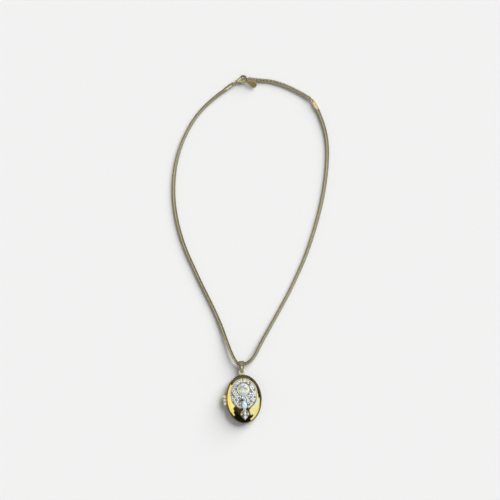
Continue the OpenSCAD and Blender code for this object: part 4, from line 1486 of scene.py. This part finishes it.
class LOCKET_OT_end_tubes(Operator):
    """End tubes of the chain, turned, each with a soldered eye"""

    bl_idname = "locket.end_tubes"
    bl_label = "End tubes"

    def execute(self, context):
        c = settings_of(context).chain
        eye_r, eye_wire = 0.9 * MM, 0.35 * MM
        profile = self.profile(c)
        for mouth, turned, name, look, slot in (
            (LEFT_MOUTH, LEFT_TURN, "left", "pale", "pale_gold"),
            (RIGHT_MOUTH, RIGHT_TURN, "right", "amber", "polished_gold"),
        ):
            bm = bmesh.new()
            on_side = Matrix.Rotation(pi / 2, 4, "Y")
            place = Matrix.Translation(Vector(mouth) * MM)
            place = place @ Matrix.Rotation(radians(turned), 4, "Z") @ on_side
            lathe(bm, profile, 48, place)
            eye = Matrix.Translation((0, 0, c.tube_long + eye_r - 0.15 * MM)) @ on_side
            lathe(bm, round_wire(eye_r, eye_wire), 40, place @ eye)
            piece("end_tube_" + name, bm, [look], NECKLACE, slot, ["crimp_" + name])
        return {"FINISHED"}

    def profile(self, c):
        """Profile of a tube: its bore, rounded mouth, turned groove and shoulder"""
        r, long, lip = c.tube, c.tube_long, 0.16 * MM
        bore, depth = c.thick / 2 + 0.07 * MM, 4 * MM
        groove_r, groove_from, groove_to, slope = r - 0.06 * MM, 0.5 * MM, 0.78 * MM, 0.08 * MM
        round_top = 0.5 * MM
        return [
            (0, depth), (bore, depth), (bore, lip * 0.4), (bore + lip * 0.4, 0),
            (r - lip, 0), (r - lip * 0.3, lip * 0.3), (r, lip),
            (r, groove_from), (groove_r, groove_from + slope), (groove_r, groove_to - slope),
            (r, groove_to), (r, long - round_top), *shoulder(r, long, round_top, 6), (0, long),
        ]  # fmt: skip


# Castings: name, node, look, slot, body, grain of the mesh in millimetres, rounds of smoothing,
# then how far in its rounding reaches and how much fuller it is than its solid, in millimetres
CASTINGS = (
    ("cast_clasp", "clasp_body", "clasp", "pale_gold", NECKLACE, 0.06, 5, 0.55, 0.16),
    ("cast_lever", "clasp_lever", "pale", "pale_gold", LEVER, 0.05, 5, 0.5, 0.0),
    ("drop_tag", "tag", "satin", "polished_gold", NECKLACE, 0.06, 4, 0.35, 0.0),
)
# Where the clasp's hook gets painted shade and the tag's far edge a painted highlight: share,
# then from and to along a flat line from a point in a direction, in millimetres
HOOK_SHADE_TAG_HIGHLIGHT = {
    "clasp_body": (0.55, 1.6, 3, (10.4, 208.7), (0.69, 0.72)),
    "tag": (1.0, 1.5, 2.6, (18.4, 207.4), (0.9, 0.43)),
}


def hook_shade_tag_highlight(node, co):
    if node not in HOOK_SHADE_TAG_HIGHLIGHT:
        return 0.0
    share, low, high, start, way = HOOK_SHADE_TAG_HIGHLIGHT[node]
    return share * smooth_step(low, high, (co.xy / MM - Vector(start)).dot(Vector(way)))


class LOCKET_OT_clasp(Operator):
    """Lobster clasp, its lever and the tag, with the soft corners of castings"""

    bl_idname = "locket.clasp"
    bl_label = "Clasp and tag"

    def execute(self, context):
        for name, node, look, slot, body, grain, rounds, reach, fuller in CASTINGS:
            bm = copy_of(node)
            bmesh.ops.recalc_face_normals(bm, faces=bm.faces)
            flat = max(bm.faces, key=lambda f: f.calc_area()).normal.copy()
            bm = cast_smooth(name + "_mould", bm, grain * MM, 2)
            bm.normal_update()
            self.crown(bm, flat, reach * MM)
            bm.normal_update()
            for v in bm.verts:
                v.co += v.normal * fuller * MM
            axes = {"use_axis_" + axis: True for axis in "xyz"}
            for i in range(rounds):
                bmesh.ops.smooth_vert(bm, verts=bm.verts, factor=0.5, **axes)
            made = piece(name, bm, [look], body, slot, [node], 80)
            mark_painted_light(made, lambda co: hook_shade_tag_highlight(node, co))
        return {"FINISHED"}

    def crown(self, bm, flat, reach):
        """Thins a flat casting towards its sides, so that its faces are crowned"""
        sideways, thinnest = 0.35, 0.12
        on_side = [v.co for v in bm.verts if abs(v.normal.dot(flat)) < sideways]
        tree = search_tree([co - flat * co.dot(flat) for co in on_side])
        levels = [v.co.dot(flat) for v in bm.verts]
        middle = (min(levels) + max(levels)) / 2
        for v in bm.verts:
            level = v.co.dot(flat)
            away = tree.find(v.co - flat * level)[2] / reach
            crown = sqrt(max(1 - (1 - min(away, 1)) ** 2, thinnest))
            v.co -= flat * (level - middle) * (1 - crown)


class LOCKET_OT_extender(Operator):
    """Extender of twisted wire links, each lying flat in the next"""

    bl_idname = "locket.extender"
    bl_label = "Extender"

    def execute(self, context):
        c = settings_of(context).chain
        fine = even_path(millimetres(EXTENDER_POINTS), 0.05 * MM, 10)
        last = len(fine) - 1
        step = sum((q - p).length for p, q in zip(fine, fine[1:])) / last
        play = 0.4 * MM
        first = c.link_long - (c.link_wire + c.ring_wire + play)
        pitch = (step * last - 2 * first) / (c.links - 1)

        def at(d):
            i = min(max(d / step, 0), last - 0.001)
            return fine[int(i)].lerp(fine[int(i) + 1], i % 1)

        bm = bmesh.new()
        for k in range(c.links):
            d = first + k * pitch
            way = (at(d + c.link_wide) - at(d - c.link_wide)).normalized()
            self.link(bm, c, at(d), way)
        bmesh.ops.remove_doubles(bm, verts=bm.verts, dist=WELD)
        nodes = ["extender_chain"]
        piece("extender_links", bm, ["links"], NECKLACE, "chain_gold", nodes, 60)
        return {"FINISHED"}

    def link(self, bm, c, middle, way):
        """A link round its middle, its ends twisted against each other"""
        around, sides, fuller = 32, 9, 0.12 * MM
        side = Vector((0, 0, 1)).cross(way).normalized()
        up = way.cross(side)
        line = []
        for i in range(around):
            a = 2 * pi * i / around
            x, y = c.link_long * cos(a), c.link_wide * sin(a)
            twist = -c.link_twist * cos(a)
            line.append(middle + x * way + y * cos(twist) * side + y * sin(twist) * up)
        frames = []
        for p, heading in zip(line, headings(line, True)):
            out = (p - middle) - heading * (p - middle).dot(heading)
            out.normalize()
            frames.append((out, out.cross(heading)))
        tube(bm, line, sides, lambda i, a: c.link_wire + fuller, True, frames)


class LOCKET_OT_rings(Operator):
    """Finishes of the small rings and of the clasp's pin, which keep their solids"""

    bl_idname = "locket.rings"
    bl_label = "Rings"

    def execute(self, context):
        for node in ("jump_ring_left", "jump_ring_right", "clasp_ring", "tag_ring", "clasp_pin"):
            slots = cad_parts[node].data.materials
            slots.clear()
            slots.append(LOOKS["pale"])
        return {"FINISHED"}


# Stage


# Bright and dark parts of the studio as the metal sees it: turn from +X, half width, zenith
# from, zenith to, softness, all in degrees, then the light's colour
STUDIO = (
    (0, 180, -9, 10, 5, (0.95, 0.97, 1.0)),
    (90, 70, 10, 24, 5, (0.8, 0.82, 0.85)),
    (177, 31, 17, 44, 3, (0.98, 1.02, 0.92)),
    (181, 35, 44, 54, 3, (0.98, 1.02, 0.92)),
    (186, 37, 54, 72, 3, (0.95, 0.93, 0.7)),
    (180, 31, 72, 81, 3, (0.95, 0.93, 0.7)),
    (-26, 33, 26, 44, 3, (0.86, 0.98, 1.3)),
    (-22, 29, 44, 58, 3, (0.86, 0.98, 1.3)),
    (-35, 31, 58, 76, 3, (0.85, 0.88, 0.8)),
    (-43, 23, 76, 86, 3, (0.95, 0.93, 0.75)),
    (-12, 10, 34, 54, 6, (-0.2, 0.02, 0.85)),
    (31, 12, 70, 84, 6, (0.22, 0.18, 0.16)),
    (95, 45, 34, 88, 12, (0.13, 0.145, 0.165)),
)
# Light from everywhere else, and from beyond the locket's foot
STUDIO_BASE = (0.05, 0.038, 0.036)
STUDIO_LOW = (0.008, 0.009, 0.01)
# Painted shade: the table's darker colour as polished metal mirrors it
TABLE_SHADED_IN_REFLECTIONS = (0.2, 0.19, 0.16)
WHITE = (1.0, 1.0, 1.0)
# Way to the key light, and how wide it looks in degrees
KEY_WAY = (0.62, 0.6, 0.56)
KEY_WIDE = 46


def studio_colour(shading):
    """Colour of the studio in each direction"""
    x, y, z = shading.axes(shading.node("TexCoord").outputs["Generated"])
    zenith = shading.math("ARCCOSINE", z)
    level = shading.node("CombineXYZ", {"X": x, "Y": y}).outputs[0]
    flat = shading.vector("NORMALIZE", {0: level})
    toward_foot = shading.multiply(
        shading.span(y, -0.2, -0.5, 0, 1, "SMOOTHSTEP"),
        shading.span(zenith, radians(30), radians(38)),
    )
    total = shading.mixed(toward_foot, STUDIO_BASE, STUDIO_LOW)
    for turned, half, near, far, soft, colour in STUDIO:
        way = (*toward(radians(turned)), 0)
        off = shading.math("ARCCOSINE", shading.vector("DOT_PRODUCT", {0: flat, 1: way}, "Value"))
        middle, reach = radians((near + far) / 2), radians((far - near) / 2)
        rise = shading.math("ABSOLUTE", shading.subtract(zenith, middle))
        edge, wide = radians(soft) / 2, radians(half)
        mask = shading.multiply(
            shading.span(off, wide + edge, wide - edge, 0, 1, "SMOOTHSTEP"),
            shading.span(rise, reach + edge, reach - edge, 0, 1, "SMOOTHSTEP"),
        )
        glow = shading.vector("SCALE", {0: colour, "Scale": mask})
        total = shading.vector("ADD", {0: total, 1: glow})
    return total


class LOCKET_OT_stage(Operator):
    """Pale table, studio walls, key light and the camera straight above"""

    bl_idname = "locket.stage"
    bl_label = "Stage"

    def execute(self, context):
        st = settings_of(context).stage
        self.table(st)
        self.studio(context.scene, st)
        key = bpy.data.lights.new("key_light", "SUN")
        key.energy = st.sun
        key.angle = radians(KEY_WIDE)
        key.color = WHITE
        lamp = new_object("key_light", key)
        lamp.rotation_euler = Vector(KEY_WAY).to_track_quat("Z", "Y").to_euler()
        lamp.visible_glossy = False
        lamp.visible_transmission = False
        lens = bpy.data.cameras.new("camera")
        lens.sensor_width = 36
        lens.lens = lens.sensor_width * st.away / st.view_wide
        lens.clip_start, lens.clip_end = 0.01, 20
        eye = new_object("camera", lens)
        eye.location = Vector(st.aim) + Vector((0, 0, st.away))
        eye.rotation_euler = (0, 0, -st.lean)
        context.scene.camera = eye
        context.scene.view_settings.view_transform = "Standard"
        return {"FINISHED"}

    def table(self, st):
        bm = bmesh.new()
        bmesh.ops.create_grid(bm, x_segments=4, y_segments=4, size=4)
        top = new_object("table", mesh_of("table", bm))
        look = Look("table_paint")
        in_metal = look.node("LightPath").outputs["Is Glossy Ray"]
        paint = look.mixed(in_metal, st.table, TABLE_SHADED_IN_REFLECTIONS)
        top.data.materials.append(
            look.finish(base_color=paint, roughness=1.0, specular_ior_level=0.0)
        )

    def studio(self, scene, st):
        """World: the studio for metal and stones, an even fill for the rest, a pale backdrop"""
        world = bpy.data.worlds.new("studio")
        world.use_nodes = True
        scene.world = world
        shading = Shading(world.node_tree)
        ray = shading.node("LightPath").outputs

        def light(colour, strength):
            return shading.node("Background", {"Color": colour, "Strength": strength}).outputs[0]

        def choice(share, a, b):
            return shading.node("MixShader", {0: share, 1: a, 2: b}).outputs[0]

        seen = light(studio_colour(shading), st.sky)
        lit = choice(ray["Is Diffuse Ray"], seen, light(WHITE, st.fill))
        shown = choice(ray["Is Camera Ray"], lit, light(st.table, 1.0))
        shading.join(world.node_tree.nodes["World Output"].inputs["Surface"], shown)


PIECES = (
    LOCKET_OT_cover,
    LOCKET_OT_back,
    LOCKET_OT_wings,
    LOCKET_OT_pave,
    LOCKET_OT_crystal,
    LOCKET_OT_bird,
    LOCKET_OT_bird_stones,
    LOCKET_OT_bail,
    LOCKET_OT_snake_chain,
    LOCKET_OT_end_tubes,
    LOCKET_OT_clasp,
    LOCKET_OT_extender,
    LOCKET_OT_rings,
    LOCKET_OT_stage,
)


class LOCKET_PT_sidebar(Panel):
    """Lists the operators of the necklace"""

    bl_idname = "LOCKET_PT_sidebar"
    bl_label = "Oval Locket"
    bl_space_type = "VIEW_3D"
    bl_region_type = "UI"
    bl_category = "Locket"

    def draw(self, context):
        column = self.layout.column(align=True)
        for operator in PIECES:
            column.operator(operator.bl_idname)


GROUPS = (ShellSizes, BirdSizes, ChainSizes, Finishes, StageSettings, NecklaceSettings)


def register():
    for cls in GROUPS + PIECES + (LOCKET_PT_sidebar,):
        bpy.utils.register_class(cls)
    bpy.types.Scene.necklace = PointerProperty(type=NecklaceSettings)


def unregister():
    del bpy.types.Scene.necklace
    for cls in reversed(GROUPS + PIECES + (LOCKET_PT_sidebar,)):
        bpy.utils.unregister_class(cls)


def main():
    register()
    make_looks(bpy.context.scene.necklace)
    for operator in PIECES:
        group, name = operator.bl_idname.split(".")
        getattr(getattr(bpy.ops, group), name)()


if __name__ == "__main__":
    main()
